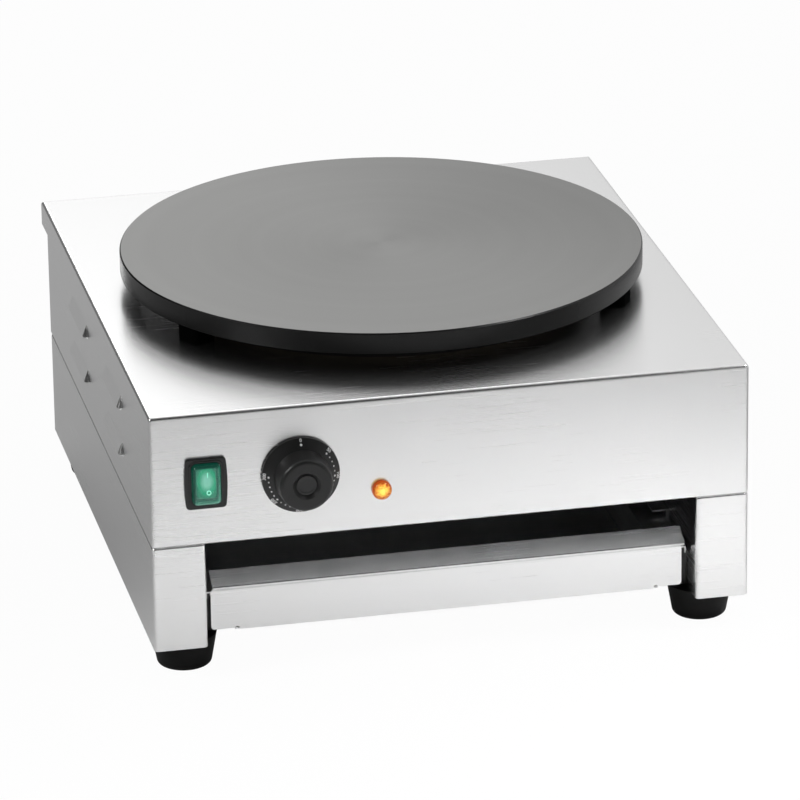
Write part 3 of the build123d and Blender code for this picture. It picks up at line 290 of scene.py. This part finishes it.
def rolled(name, level, dull):
    """Plain cold-rolled sheet: cloudy and a little uneven."""
    sheet = Finish(name, Metallic=1.0)
    cloud = sheet.noise(26.0, detail=5.0, roughness=0.6)
    fine = sheet.noise(1.0, (12.0, 500.0, 500.0), detail=2.0)
    sheet.tint(cloud, grey(level - 0.05), grey(level + 0.05))
    sheet.give(Roughness=sheet.spread(cloud, dull - 0.06, dull + 0.08))
    sheet.bump(fine, 0.000004, 0.5)
    return sheet.material


def galvanised(name):
    """Zinc-coated sheet with its broken crystal pattern."""
    zinc = Finish(name, Metallic=1.0)
    cells = zinc.node("ShaderNodeTexVoronoi", feature="F1")
    zinc.feed(cells.inputs["Vector"], zinc.mapped())
    zinc.feed(cells.inputs["Scale"], 90.0)
    flake = zinc.node("ShaderNodeSeparateColor")
    zinc.feed(flake.inputs[0], cells.outputs["Color"])
    zinc.tint(flake.outputs[0], (0.42, 0.43, 0.44), (0.62, 0.63, 0.64))
    zinc.give(Roughness=zinc.spread(flake.outputs[1], 0.35, 0.55))
    return zinc.material


def turned_steel(name):
    """Bright screws, nuts and shafts, with the fine marks of turning."""
    steel = Finish(name, Metallic=1.0)
    fine = steel.noise(700.0)
    steel.tint(fine, grey(0.5), grey(0.68))
    steel.give(Roughness=steel.spread(fine, 0.22, 0.4))
    steel.bump(fine, 0.00001, 0.4)
    return steel.material


def rubber(name):
    """Matt black rubber with a fine moulded grain."""
    feet = Finish(name, Specular_IOR_Level=0.2)
    grain = feet.noise(1800.0, detail=4.0, roughness=0.6)
    dust = feet.noise(60.0, detail=4.0)
    feet.tint(dust, grey(0.0015), grey(0.004))
    feet.give(Roughness=feet.spread(dust, 0.5, 0.65))
    feet.bump(grain, 0.00003, 0.5)
    return feet.material


def painted_shade_sheet(name):
    """Sheet steel under the plate, painted nearly black as the shade there."""
    sheet = Finish(name, Metallic=0.4)
    cloud = sheet.noise(60.0, detail=5.0, roughness=0.6)
    # nearly black colour: painted shade under the plate
    sheet.tint(cloud, (0.012, 0.011, 0.01), (0.035, 0.03, 0.027))
    sheet.give(Roughness=sheet.spread(cloud, 0.6, 0.85))
    return sheet.material


def cast_plate(name):
    """Machined cast-iron top with turning marks, and a black enamelled rim and underside, the underside
    painted darker as the shade under the plate.
    """
    plate = Finish(name, Anisotropic=0.35)
    from_centre = plate.mapped((1.0, 1.0, 0.0), (0.0, PLATE_Y * MM, 0.0))
    rings = plate.vector(plate.length(from_centre))
    marks = plate.noise(1400.0, along=rings)
    bands = plate.noise(60.0, detail=2.0, along=rings)
    pores = plate.noise(900.0, detail=4.0, roughness=0.7)
    seasoning = plate.noise(11.0)

    shade = plate.math("ADD", plate.spread(marks, -0.25, 0.25, 0.25, 0.75),
                       plate.spread(seasoning, -0.12, 0.12))
    shade = plate.math("ADD", shade, plate.spread(bands, -0.1, 0.1, 0.3, 0.7))
    shade = plate.math("ADD", shade, plate.spread(pores, -0.1, 0.1, 0.3, 0.7))
    metal = plate.blend(plate.spread(shade, 0.0, 1.0, -0.6, 0.6), (0.225, 0.225, 0.22), (0.285, 0.285, 0.28))
    metal_dull = plate.spread(marks, 0.36, 0.48, 0.25, 0.75)

    # below: the underside, whose enamel colour is painted darker as the shade under the plate
    below = plate.spread(plate.part(plate.place, "Z"), 1.0, 0.0, (RIM_LOW + 0.6) * MM, (RIM_LOW + 1.4) * MM)
    enamel = plate.blend(below, grey(0.015), grey(0.003))
    enamel_dull = plate.mix(below, plate.spread(pores, 0.22, 0.3), 0.95)

    top = plate.spread(plate.part(plate.direction(), "Z"), 0.0, 1.0, 0.9, 0.97)
    plate.give(Base_Color=plate.blend(top, enamel, metal), Metallic=top,
               Roughness=plate.mix(top, enamel_dull, metal_dull),
               Specular_IOR_Level=plate.mix(below, 0.3, 0.02))
    plate.give(Tangent=plate.vector(plate.math("MULTIPLY", plate.part(from_centre, "Y"), -1.0),
                                    plate.part(from_centre, "X")))
    plate.bump(plate.math("ADD", marks, plate.math("MULTIPLY", pores, 0.6)), 0.00001, 0.35)
    return plate.material


def moulded(name, level, dull, grain=0.00001):
    """Black moulded plastic with a fine spark-eroded grain."""
    plastic = Finish(name, Specular_IOR_Level=0.45)
    cloud = plastic.noise(70.0)
    plastic.tint(cloud, grey(level * 0.85), grey(level * 1.15))
    plastic.give(Roughness=plastic.spread(cloud, dull - 0.04, dull + 0.04))
    plastic.bump(plastic.noise(2600.0), grain, 0.5)
    return plastic.material


def mineral_wool(name):
    """Pressed wool board, browned by the heat."""
    wool = Finish(name, Roughness=0.95)
    fibres = wool.noise(240.0, (1, 1, 3), detail=6.0, roughness=0.7, distortion=1.5)
    wool.tint(fibres, (0.06, 0.05, 0.035), (0.16, 0.135, 0.09))
    wool.bump(fibres, 0.0006, 0.8)
    return wool.material


def element_sheath(name):
    """Heat-browned sheath of the tubular heater."""
    sheath = Finish(name, Metallic=0.9)
    scale = sheath.noise(120.0, detail=5.0, roughness=0.65)
    sheath.tint(scale, (0.07, 0.055, 0.045), (0.17, 0.14, 0.12))
    sheath.give(Roughness=sheath.spread(scale, 0.4, 0.65))
    return sheath.material


def copper(name):
    """Drawn copper tube, slightly tarnished."""
    tube = Finish(name, Metallic=1.0)
    tarnish = tube.noise(160.0, detail=5.0, roughness=0.6)
    tube.tint(tarnish, (0.45, 0.2, 0.1), (0.82, 0.42, 0.26))
    tube.give(Roughness=tube.spread(tarnish, 0.25, 0.45))
    return tube.material


def ceramic(name):
    """Glazed white terminal porcelain."""
    block = Finish(name, Specular_IOR_Level=0.5)
    cloud = block.noise(300.0)
    block.tint(cloud, (0.72, 0.71, 0.67), (0.82, 0.81, 0.78))
    block.give(Roughness=block.spread(cloud, 0.18, 0.32))
    return block.material


def brass(name):
    """Earthing brass."""
    stud = Finish(name, Metallic=1.0)
    tarnish = stud.noise(400.0, detail=4.0)
    stud.tint(tarnish, (0.55, 0.38, 0.14), (0.82, 0.62, 0.28))
    stud.give(Roughness=stud.spread(tarnish, 0.25, 0.4))
    return stud.material


def ink(name, level, glow=0.0):
    """White printing ink, lit from behind where it glows."""
    paint = Finish(name, Specular_IOR_Level=0.3, Emission_Color=(0.85, 1.0, 0.94), Emission_Strength=glow)
    cloud = paint.noise(1500.0)
    paint.tint(cloud, grey(level * 0.9), grey(level))
    paint.give(Roughness=paint.spread(cloud, 0.5, 0.62))
    return paint.material


def rocker_green(name):
    """Lit green rocker: a painted highlight, pale a little above its middle; deep green to its rim and foot.
    """
    green = Finish(name, Roughness=0.22, Emission_Strength=0.28)
    reach = green.length(green.around(SWITCH_X + 0.4, SWITCH_Z + 1.8, 7.0, 10.5))
    edge = green.math("ADD", reach, green.spread(green.noise(260.0), -0.08, 0.08))
    # pale: painted highlight on the rocker's face, which also glows through the emission colour
    pale = green.spread(edge, 1.0, 0.0, 0.25, 0.85, smooth=True)
    rim = green.spread(edge, 0.0, 1.0, 0.85, 1.15, smooth=True)
    body = green.blend(pale, (0.004, 0.32, 0.18), (0.66, 0.62, 0.62))
    colour = green.blend(rim, body, (0.002, 0.13, 0.08))
    green.give(Base_Color=colour, Emission_Color=colour)
    return green.material


def clear_boot(name):
    """Clear soft cap with a green tinge; painted shade darkens its side walls, and a faint painted glow
    stands in for the lit rocker beneath.
    """
    # faint green emission: painted glow of the lit rocker, because the cap itself gives no light
    boot = Finish(name, Transmission_Weight=0.95, IOR=1.41,
                  Emission_Color=(0.01, 0.35, 0.22), Emission_Strength=0.08)
    from_middle = boot.around(SWITCH_X + 1.0, SWITCH_Z - 0.5, 10.6, 15.6)
    sides = [boot.math("ABSOLUTE", boot.part(from_middle, axis)) for axis in ("X", "Z")]
    # clear: 1 in the middle and 0 at the side walls, where the colour is darkened as painted shade
    clear = boot.spread(boot.math("MAXIMUM", *sides), 1.0, 0.0, 0.84, 1.0, smooth=True)
    boot.tint(clear, (0.05, 0.12, 0.1), (0.5, 0.9, 0.78))
    boot.give(Roughness=boot.spread(boot.noise(90.0, detail=2.0), 0.03, 0.09))
    return boot.material


def amber_lens(name):
    """Amber dome of the pilot lamp."""
    lens = Finish(name, Transmission_Weight=1.0, IOR=1.45, Base_Color=(1.0, 0.62, 0.13))
    lens.give(Roughness=lens.spread(lens.noise(160.0, detail=2.0), 0.02, 0.07))
    lens.bump(lens.noise(700.0, detail=1.0), 0.0002, 0.3)
    return lens.material


def lamp_glow(name):
    """Glowing filler behind the amber dome, hottest near its middle."""
    glow = Finish(name, Roughness=0.5, Emission_Strength=0.9)
    reach = glow.length(glow.around(LAMP_X + 0.2, LAMP_Z - 0.4, LENS_R, LENS_R))
    facets = glow.noise(900.0, detail=2.0)
    edge = glow.math("ADD", reach, glow.spread(facets, -0.2, 0.2, 0.3, 0.7))
    colour = glow.blend(glow.spread(edge, 1.0, 0.0, 0.2, 0.72), (0.3, 0.05, 0.01), (1.0, 0.85, 0.34))
    glow.give(Base_Color=colour, Emission_Color=colour)
    return glow.material


FINISHES = {
    "cover_steel": brushed("brushed_cover_steel", 0.86, 0.27),
    "panel_steel": rolled("rolled_panel_steel", 0.74, 0.38),
    "galvanised_steel": galvanised("galvanised_sheet"),
    "screw_steel": turned_steel("turned_screw_steel"),
    "foot_rubber": rubber("foot_rubber_black"),
    "cast_plate": cast_plate("machined_cast_iron"),
    "mineral_wool": mineral_wool("mineral_wool_board"),
    "element_sheath": element_sheath("heater_sheath"),
    "copper_tube": copper("drawn_copper"),
    "control_plastic": moulded("moulded_black", 0.014, 0.36),
    "control_gloss": moulded("polished_black", 0.012, 0.2, 0.000004),
    "rocker_green": rocker_green("rocker_green_plastic"),
    "boot_clear": clear_boot("boot_clear_rubber"),
    "lens_amber": amber_lens("lens_amber_plastic"),
    "ceramic_white": ceramic("terminal_porcelain"),
    "earth_brass": brass("earth_brass_metal"),
}
WHITE_INK = ink("white_ink", 0.92)
LIT_INK = ink("lit_ink", 0.9, 0.45)
PAINTED_SHADE_SHEET = painted_shade_sheet("sheet_in_painted_shade")
LAMP_GLOW = lamp_glow("pilot_lamp_glow")

SLOT_NODES = {
    "cover_steel": ("top_cover", "leg_box_left", "leg_box_right", "drawer_front"),
    "panel_steel": ("rear_panel", "rear_cross_panel", "leg_strip_left", "leg_strip_right",
                    "rail_left", "rail_right", "drawer_tray"),
    "galvanised_steel": ("heat_shield", "element_pan", "clamp_disc"),
    "screw_steel": ("rear_screws", "foot_screws", "foot_nuts", "rail_screws", "plate_studs", "plate_washers",
                    "plate_nuts", "clamp_stud", "clamp_nut", "thermostat_screws", "thermostat_shaft"),
    "foot_rubber": ("foot_front_left", "foot_front_right", "foot_rear_left", "foot_rear_right"),
    "cast_plate": ("cooking_plate",),
    "mineral_wool": ("insulation_disc",),
    "element_sheath": ("heating_element",),
    "copper_tube": ("sensing_bulb", "capillary_tube"),
    "control_plastic": ("thermostat_body", "knob", "switch_body", "pilot_body", "pilot_nut",
                        "cable_gland", "gland_nut"),
    "control_gloss": ("knob_cap", "switch_bezel"),
    "rocker_green": ("switch_rocker",),
    "boot_clear": ("switch_boot",),
    "lens_amber": ("pilot_lens",),
    "ceramic_white": ("terminal_block",),
    "earth_brass": ("earth_stud",),
}
PAINTED_SHADE_NODES = ("element_pan", "clamp_disc")    # galvanised sheet, painted nearly black as the shade under the plate


def dress_nodes():
    """Every CAD node gets its finish."""
    for slot, names in SLOT_NODES.items():
        for name in names:
            node = NODES[name]
            # the sheet under the plate gets the finish that is painted nearly black as shade
            finish = PAINTED_SHADE_SHEET if name in PAINTED_SHADE_NODES else FINISHES[slot]
            if node.material_slots:
                for place in node.material_slots:
                    place.material = finish
            else:
                node.data.materials.append(finish)


# ---------------------------------------------------------------- the dial's marks
# the knob's skirt, a cone from its outer edge up to the grip, in mm
SKIRT_R, SKIRT_OUT = 29.0, 3.0       # radius of the outer edge, and its place in front of the panel
CONE_R, CONE_OUT = 21.2, 8.0         # and of the inner edge
SLOPE = hypot(SKIRT_R - CONE_R, CONE_OUT - SKIRT_OUT)

DIAL_ZERO = 90.0         # direction of the 0, in degrees from +X
DIAL_START = 40.5        # direction of the lowest number
DIAL_STEP = 44.74        # between two numbers, clockwise
DIAL_NUMBERS = ("50", "100", "150", "200", "250", "300")
DIAL_DIVISIONS = 5       # from one number to the next
FIGURE_H = 2.6           # height of the figures
FIGURE_ALONG = 1.9       # their place along the slope, from its outer edge
DOT_ALONG = 5.2          # and the dots'
ZERO_DOT_R, NUMBER_DOT_R, STEP_DOT_R = 1.0, 0.85, 0.6


def cone_point(angle, along, across, rise):
    """A point over the skirt: along the slope from its outer edge, and across it to the right."""
    share = along / SLOPE
    radius = SKIRT_R + (CONE_R - SKIRT_R) * share + rise * (CONE_OUT - SKIRT_OUT) / SLOPE
    out = SKIRT_OUT + (CONE_OUT - SKIRT_OUT) * share + rise * (SKIRT_R - CONE_R) / SLOPE
    turn = angle - across / radius
    x, z = KNOB_X + radius * cos(turn), KNOB_Z + radius * sin(turn)
    return Vector((x * MM, (Y_FRONT - out) * MM, z * MM))


def onto_skirt(form, angle, along):
    """Wraps a mark drawn in XY, its top outwards, round the skirt."""
    for corner in form.verts:
        corner.co = cone_point(angle, along - corner.co.y, corner.co.x, corner.co.z + MARK_LIFT)
    bmesh.ops.recalc_face_normals(form, faces=form.faces)


def dot_mark(radius, angle):
    """A round dot printed on the skirt."""
    dot = bmesh.new()
    bmesh.ops.create_circle(dot, cap_ends=True, segments=16, radius=radius)
    thicken(dot, INK)
    onto_skirt(dot, angle, DOT_ALONG)
    return dot


def figure_mark(text, angle):
    """A number printed on the skirt."""
    figure = written(text, FIGURE_H)
    thicken(figure, INK)
    onto_skirt(figure, angle, FIGURE_ALONG)
    return figure


def number_angle(order):
    """Direction of a number on the dial, or of a place between two numbers."""
    return radians(DIAL_START - order * DIAL_STEP)


def dial_marks():
    """Numbers and dots printed on the knob's skirt."""
    marks = [figure_mark("0", radians(DIAL_ZERO)), dot_mark(ZERO_DOT_R, radians(DIAL_ZERO))]
    for order, number in enumerate(DIAL_NUMBERS):
        marks += [figure_mark(number, number_angle(order)), dot_mark(NUMBER_DOT_R, number_angle(order))]
    for step in range((len(DIAL_NUMBERS) - 1) * DIAL_DIVISIONS):
        if step % DIAL_DIVISIONS:
            marks.append(dot_mark(STEP_DOT_R, number_angle(step / DIAL_DIVISIONS)))
    add_piece("dial_marks", join(marks), WHITE_INK, "dial", smooth=False)


# ---------------------------------------------------------------- the switch, in mm
BEZEL_OUT = 2.6          # front of the bezel
STEP_W, STEP_H, STEP_CORNER = 25.6, 36.2, 5.2     # outline of its raised step
STEP_RISE, STEP_WALL, STEP_BREAK = 0.7, 2.0, 0.35
STEP_SUNK = 0.1          # how deep the step sits in the bezel

# the rocker: its face is hollow between its ends, and it tips about a pin
PIN_OUT = 1.3            # from the panel to the pin
ROCKER_RISE = 2.8        # from the pin to the ends of the face
ROCKER_DIP = 0.8         # depth of the hollow between them
ROCKER_END = 11.6        # half of its length
ROCKER_TIP = radians(11)

# the marks on it: widths, heights and places round its middle
RING_INNER, RING_OUTER = 1.05, 1.85
RING_X, RING_UP = 1.5, -6.9
STROKE_W, STROKE_H = 0.7, 3.8
STROKE_X, STROKE_UP = 1.2, 6.2


def rounded_plate(width, height, depth, corner):
    """A plate in XY with rounded corners, its front at Z = depth."""
    form = bmesh.new()
    bmesh.ops.create_cube(form, size=1.0)
    bmesh.ops.scale(form, vec=(width, height, depth), verts=form.verts)
    bmesh.ops.translate(form, vec=(0, 0, depth / 2), verts=form.verts)
    upright = [e for e in form.edges if abs(e.verts[0].co.z - e.verts[1].co.z) > depth / 2]
    bmesh.ops.bevel(form, geom=upright, offset=corner, segments=8, affect="EDGES", profile=0.5, material=-1)
    return form


def front_faces(form):
    """The faces of a form that look towards +Z."""
    return [f for f in form.faces if f.normal.z > 0.9]


def bezel_step():
    """Raised inner frame of the switch's bezel."""
    form = rounded_plate(STEP_W, STEP_H, STEP_RISE, STEP_CORNER)
    ring = bmesh.ops.inset_region(form, faces=front_faces(form), thickness=STEP_WALL, use_even_offset=True)
    inner = [f for f in front_faces(form) if f not in ring["faces"]]
    sunk = bmesh.ops.extrude_face_region(form, geom=inner)
    bmesh.ops.translate(form, verts=corners_of(sunk), vec=(0, 0, -STEP_RISE))
    back = [f for f in form.faces if abs(f.normal.z) > 0.9 and f.calc_center_median().z < STEP_RISE / 2]
    bmesh.ops.delete(form, geom=back + inner, context="FACES")
    bmesh.ops.recalc_face_normals(form, faces=form.faces)
    rims = [e for e in form.edges if all(abs(v.co.z - STEP_RISE) < 1e-4 for v in e.verts)
            and not e.is_boundary and min(f.normal.z for f in e.link_faces) < 0.5]
    bmesh.ops.bevel(form, geom=rims, offset=STEP_BREAK, segments=3, affect="EDGES", profile=0.5, material=-1)
    bmesh.ops.transform(form, matrix=on_front(SWITCH_X, SWITCH_Z, BEZEL_OUT - STEP_SUNK), verts=form.verts)
    bmesh.ops.recalc_face_normals(form, faces=form.faces)
    add_piece("bezel_step", form, FINISHES["control_gloss"], "housing")


def onto_rocker(form):
    """Lays a mark drawn in XY round the rocker's middle onto its hollow, tipped face."""
    for corner in form.verts:
        x, up, rise = corner.co
        out = ROCKER_RISE - ROCKER_DIP + ROCKER_DIP * (up / ROCKER_END) ** 2 + rise
        y = PIN_OUT + out * cos(ROCKER_TIP) - up * sin(ROCKER_TIP)
        z = up * cos(ROCKER_TIP) + out * sin(ROCKER_TIP)
        corner.co = Vector(((SWITCH_X + x) * MM, (Y_FRONT - y) * MM, (SWITCH_Z + z) * MM))
    bmesh.ops.recalc_face_normals(form, faces=form.faces)


def switch_ring():
    """The ring of the off side."""
    ring = bmesh.new()
    section = [ring.verts.new((radius, 0, height)) for radius, height in
               ((RING_INNER, 0), (RING_OUTER, 0), (RING_OUTER, INK), (RING_INNER, INK))]
    edges = [ring.edges.new((section[i], section[(i + 1) % 4])) for i in range(4)]
    bmesh.ops.spin(ring, geom=section + edges, cent=(0, 0, 0), axis=(0, 0, 1), angle=2 * pi, steps=24,
                   use_merge=True)
    bmesh.ops.recalc_face_normals(ring, faces=ring.faces)
    bmesh.ops.translate(ring, verts=ring.verts, vec=(RING_X, RING_UP, MARK_LIFT))
    onto_rocker(ring)
    return ring


def switch_stroke():
    """The stroke of the on side."""
    stroke = bmesh.new()
    bmesh.ops.create_cube(stroke, size=1.0)
    bmesh.ops.scale(stroke, vec=(STROKE_W, STROKE_H, INK), verts=stroke.verts)
    bmesh.ops.translate(stroke, verts=stroke.verts, vec=(STROKE_X, STROKE_UP, INK / 2 + MARK_LIFT))
    bmesh.ops.subdivide_edges(stroke, edges=stroke.edges[:], cuts=2, use_grid_fill=True)
    onto_rocker(stroke)
    return stroke


def switch_marks():
    """Ring and stroke moulded on the rocker."""
    add_piece("switch_marks", join([switch_ring(), switch_stroke()]), LIT_INK, "rocker", smooth=False)


# ---------------------------------------------------------------- the pilot lamp, in mm
FILLER_R, FILLER_RISE = 6.5, 3.2
FILLER_OUT = 0.5         # its flat back, from the panel


def lamp_filler():
    """The lamp's glowing filler, a low dome inside the lens."""
    form = bmesh.new()
    bmesh.ops.create_uvsphere(form, u_segments=32, v_segments=16, radius=1.0)
    bmesh.ops.scale(form, vec=(FILLER_R, FILLER_R, FILLER_RISE), verts=form.verts)
    low = [v for v in form.verts if v.co.z < -1e-4]
    bmesh.ops.delete(form, geom=low, context="VERTS")
    bmesh.ops.holes_fill(form, edges=[e for e in form.edges if e.is_boundary], sides=64)
    bmesh.ops.transform(form, matrix=on_front(LAMP_X, LAMP_Z, FILLER_OUT), verts=form.verts)
    bmesh.ops.recalc_face_normals(form, faces=form.faces)
    add_piece("pilot_lamp_filler", form, LAMP_GLOW, "housing")


# ---------------------------------------------------------------- ends of the drawer's slides, black blocks as painted shade in the gaps beside the drawer's front, in mm
END_THICK, END_BREAK = 1.2, 0.15         # of the end plates and plugs
STOP_INNER, STOP_OUTER = 171.0, 184.8    # a rail's end plate, from the middle
STOP_LOW, STOP_HIGH = 27.0, 54.2
STOP_GAP = 0.4                           # from the plate to the rail behind it
PLUG_GAP = 0.3                           # from a plug to the side of the drawer's front
PLUG_INSET, PLUG_H = 1.2, 3.8            # from the rim's outside and top
PLUG_BACK = 0.4                          # behind the rim's end


def block(name, x, y, z, body):
    """A small moulded block between two corners, its edges just broken."""
    form = bmesh.new()
    bmesh.ops.create_cube(form, size=1.0)
    bmesh.ops.scale(form, vec=[(b - a) * MM for a, b in (x, y, z)], verts=form.verts)
    bmesh.ops.translate(form, vec=[(a + b) / 2 * MM for a, b in (x, y, z)], verts=form.verts)
    bmesh.ops.bevel(form, geom=form.edges[:], offset=END_BREAK * MM, segments=2, affect="EDGES",
                    profile=0.5, material=-1)
    add_piece(name, form, FINISHES["control_plastic"], body)


def slide_end_shade_blocks():
    """Black end plates in front of the rails, and plugs in the open ends of the tray's rims: dark pieces put
    as painted shade in the gaps beside the drawer's front.
    """
    stop_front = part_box("rail_left")[0][1] / MM - STOP_GAP - END_THICK
    tray_low, tray_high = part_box("drawer_tray")
    plug_front = tray_low[1] / MM + PLUG_BACK
    plug_top = tray_high[2] / MM - PLUG_INSET
    plug_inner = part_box("drawer_front")[1][0] / MM + PLUG_GAP
    plug_outer = tray_high[0] / MM - PLUG_INSET
    for side, name in ((-1, "left"), (1, "right")):
        # end plates and plugs: black blocks that stand in for the shade in the side gaps
        block("rail_end_shade_" + name, sorted((side * STOP_INNER, side * STOP_OUTER)),
              (stop_front, stop_front + END_THICK), (STOP_LOW, STOP_HIGH), "housing")
        block("rim_plug_shade_" + name, sorted((side * plug_inner, side * plug_outer)),
              (plug_front, plug_front + END_THICK), (plug_top - PLUG_H, plug_top), "drawer")


# ---------------------------------------------------------------- floor
FLOOR_SIZE = 14.0        # in metres
FLOOR_WHITE = 0.9        # colour of the floor
SEEN_SHARE = 0.97        # how much of it is plain white to the camera and through glass
MIRRORED_SHARE = 0.08    # and in the object's reflections


def floor_material():
    """Pale floor that keeps a faint shadow."""
    material = bpy.data.materials.new("pale_floor")
    floor = Tree(material)
    floor.nodes.clear()
    plain = floor.node("ShaderNodeBsdfDiffuse")
    floor.feed(plain.inputs["Color"], grey(FLOOR_WHITE))
    white = floor.node("ShaderNodeEmission")
    floor.feed(white.inputs["Strength"], 1.0)
    rays = floor.node("ShaderNodeLightPath").outputs
    share = floor.math("MULTIPLY", rays["Is Camera Ray"], SEEN_SHARE)
    share = floor.math("MULTIPLY_ADD", rays["Is Glossy Ray"], MIRRORED_SHARE, share)
    share = floor.math("MULTIPLY_ADD", rays["Is Transmission Ray"], SEEN_SHARE, share, clamp=True)
    mixed = floor.node("ShaderNodeMixShader")
    for socket, value in zip(mixed.inputs, (share, plain.outputs[0], white.outputs[0])):
        floor.feed(socket, value)
    floor.feed(floor.node("ShaderNodeOutputMaterial").inputs["Surface"], mixed.outputs[0])
    return material


def add_floor():
    """The floor under the object, which the model leaves out."""
    form = bmesh.new()
    bmesh.ops.create_grid(form, x_segments=1, y_segments=1, size=FLOOR_SIZE / 2)
    mesh = bpy.data.meshes.new("floor")
    form.to_mesh(mesh)
    form.free()
    floor = bpy.data.objects.new("floor", mesh)
    bpy.context.scene.collection.objects.link(floor)
    floor.data.materials.append(floor_material())


# ---------------------------------------------------------------- light
MATT_LEVEL = 0.22        # light of the surroundings on matt surfaces
WALL_LEVEL = 0.76        # and in metal: the walls,
LEFT_LEVEL = 0.05        # the wall at the left,
CEILING_LEVEL = 0.74     # the ceiling
FRONT_LEVEL = 0.03       # and what is above the camera

LAMPS = (                # name, place, point it looks at, size, watts, spread in degrees
    ("right_lamp", (0.8, -0.5, 1.1), (0.24, -0.46, 0.0), (0.4, 0.4), 0.75, 32),
    ("left_lamp", (-1.1, -0.5, 0.85), (-0.1, -0.5, 0.0), (0.4, 0.4), 0.8, 36),
    ("front_lamp", (1.3, -1.0, 1.9), (0.0, -0.2, 0.1), (0.8, 0.8), 2.0, 180),
    ("rear_softbox", (0.0, 2.6, 1.25), (0.0, 0.0, 0.15), (0.8, 0.8), 0.8, 180),
    ("rear_left_lamp", (-0.5, 2.4, 1.6), (0.0, 0.0, 0.15), (0.5, 0.6), 5.0, 180),
    ("rear_high_lamp", (0.2, 1.8, 2.0), (0.0, 0.0, 0.15), (1.0, 0.8), 4.6, 180),
)


def add_world():
    """Surroundings that are white to the camera and to glass, while metal mirrors a dimmer room."""
    world = bpy.data.worlds.new("studio")
    bpy.context.scene.world = world
    studio = Tree(world)
    light = studio.nodes["Background"]
    rays = studio.node("ShaderNodeLightPath").outputs
    direction = studio.node("ShaderNodeTexCoord").outputs["Generated"]

    def towards(axis, start, end):
        """Grows smoothly from 0 to 1 between two directions."""
        return studio.spread(studio.part(direction, axis), 0.0, 1.0, start, end, smooth=True)

    walls = studio.mix(towards("X", -0.4, -0.05), LEFT_LEVEL, WALL_LEVEL)
    room = studio.mix(towards("Z", 0.45, 0.9), walls, CEILING_LEVEL)
    above_camera = studio.math("MULTIPLY", towards("Y", 0.15, -0.25), towards("Z", 0.15, 0.4))
    room = studio.mix(above_camera, room, FRONT_LEVEL)
    lit = studio.mix(rays["Is Glossy Ray"], MATT_LEVEL, room)
    clear = studio.math("MAXIMUM", rays["Is Camera Ray"], rays["Is Transmission Ray"])
    studio.feed(light.inputs["Color"], grey(1.0))
    studio.feed(light.inputs["Strength"], studio.mix(clear, lit, 1.0))


def aim(place, target):
    """Turns a lamp at a place towards a target."""
    away = (Vector(place) - Vector(target)).normalized()
    return Matrix.Translation(place) @ away.to_track_quat("Z", "Y").to_matrix().to_4x4()


def add_lamps():
    """Soft studio lamps, two of them narrow ones that light the floor which the front mirrors."""
    for name, place, target, size, watts, spread in LAMPS:
        lamp = bpy.data.lights.new(name, "AREA")
        lamp.shape = "RECTANGLE"
        lamp.size, lamp.size_y = size
        lamp.energy = watts
        lamp.spread = radians(spread)
        carrier = bpy.data.objects.new(name, lamp)
        carrier.matrix_world = aim(place, target)
        bpy.context.scene.collection.objects.link(carrier)


# ---------------------------------------------------------------- camera
AZIMUTH, ELEVATION, ROLL = radians(-11.9363), radians(21.2509), radians(-0.8077)
LENS, SENSOR = 271.05, 36.0                       # in mm
CAMERA_TARGET = Vector((0.01211, 0.008, 0.110744))
CAMERA_DISTANCE = 4.651793                        # in metres


def add_camera():
    """A long lens, looking slightly down on the front from a little to its left."""
    back = Vector((sin(AZIMUTH) * cos(ELEVATION), -cos(AZIMUTH) * cos(ELEVATION), sin(ELEVATION)))
    right = Vector((0, 0, 1)).cross(back).normalized()
    up = back.cross(right)
    sideways = cos(ROLL) * right + sin(ROLL) * up
    upwards = cos(ROLL) * up - sin(ROLL) * right
    turn = Matrix((sideways, upwards, back)).transposed().to_4x4()
    camera = bpy.data.cameras.new("camera")
    camera.lens = LENS
    camera.sensor_width = SENSOR
    camera.clip_end = 100.0
    carrier = bpy.data.objects.new("camera", camera)
    carrier.matrix_world = Matrix.Translation(CAMERA_TARGET + back * CAMERA_DISTANCE) @ turn
    bpy.context.scene.collection.objects.link(carrier)
    bpy.context.scene.camera = carrier


dress_nodes()
dial_marks()
bezel_step()
switch_marks()
lamp_filler()
slide_end_shade_blocks()
add_floor()
add_world()
add_lamps()
add_camera()
bpy.context.scene.view_settings.view_transform = "Standard"
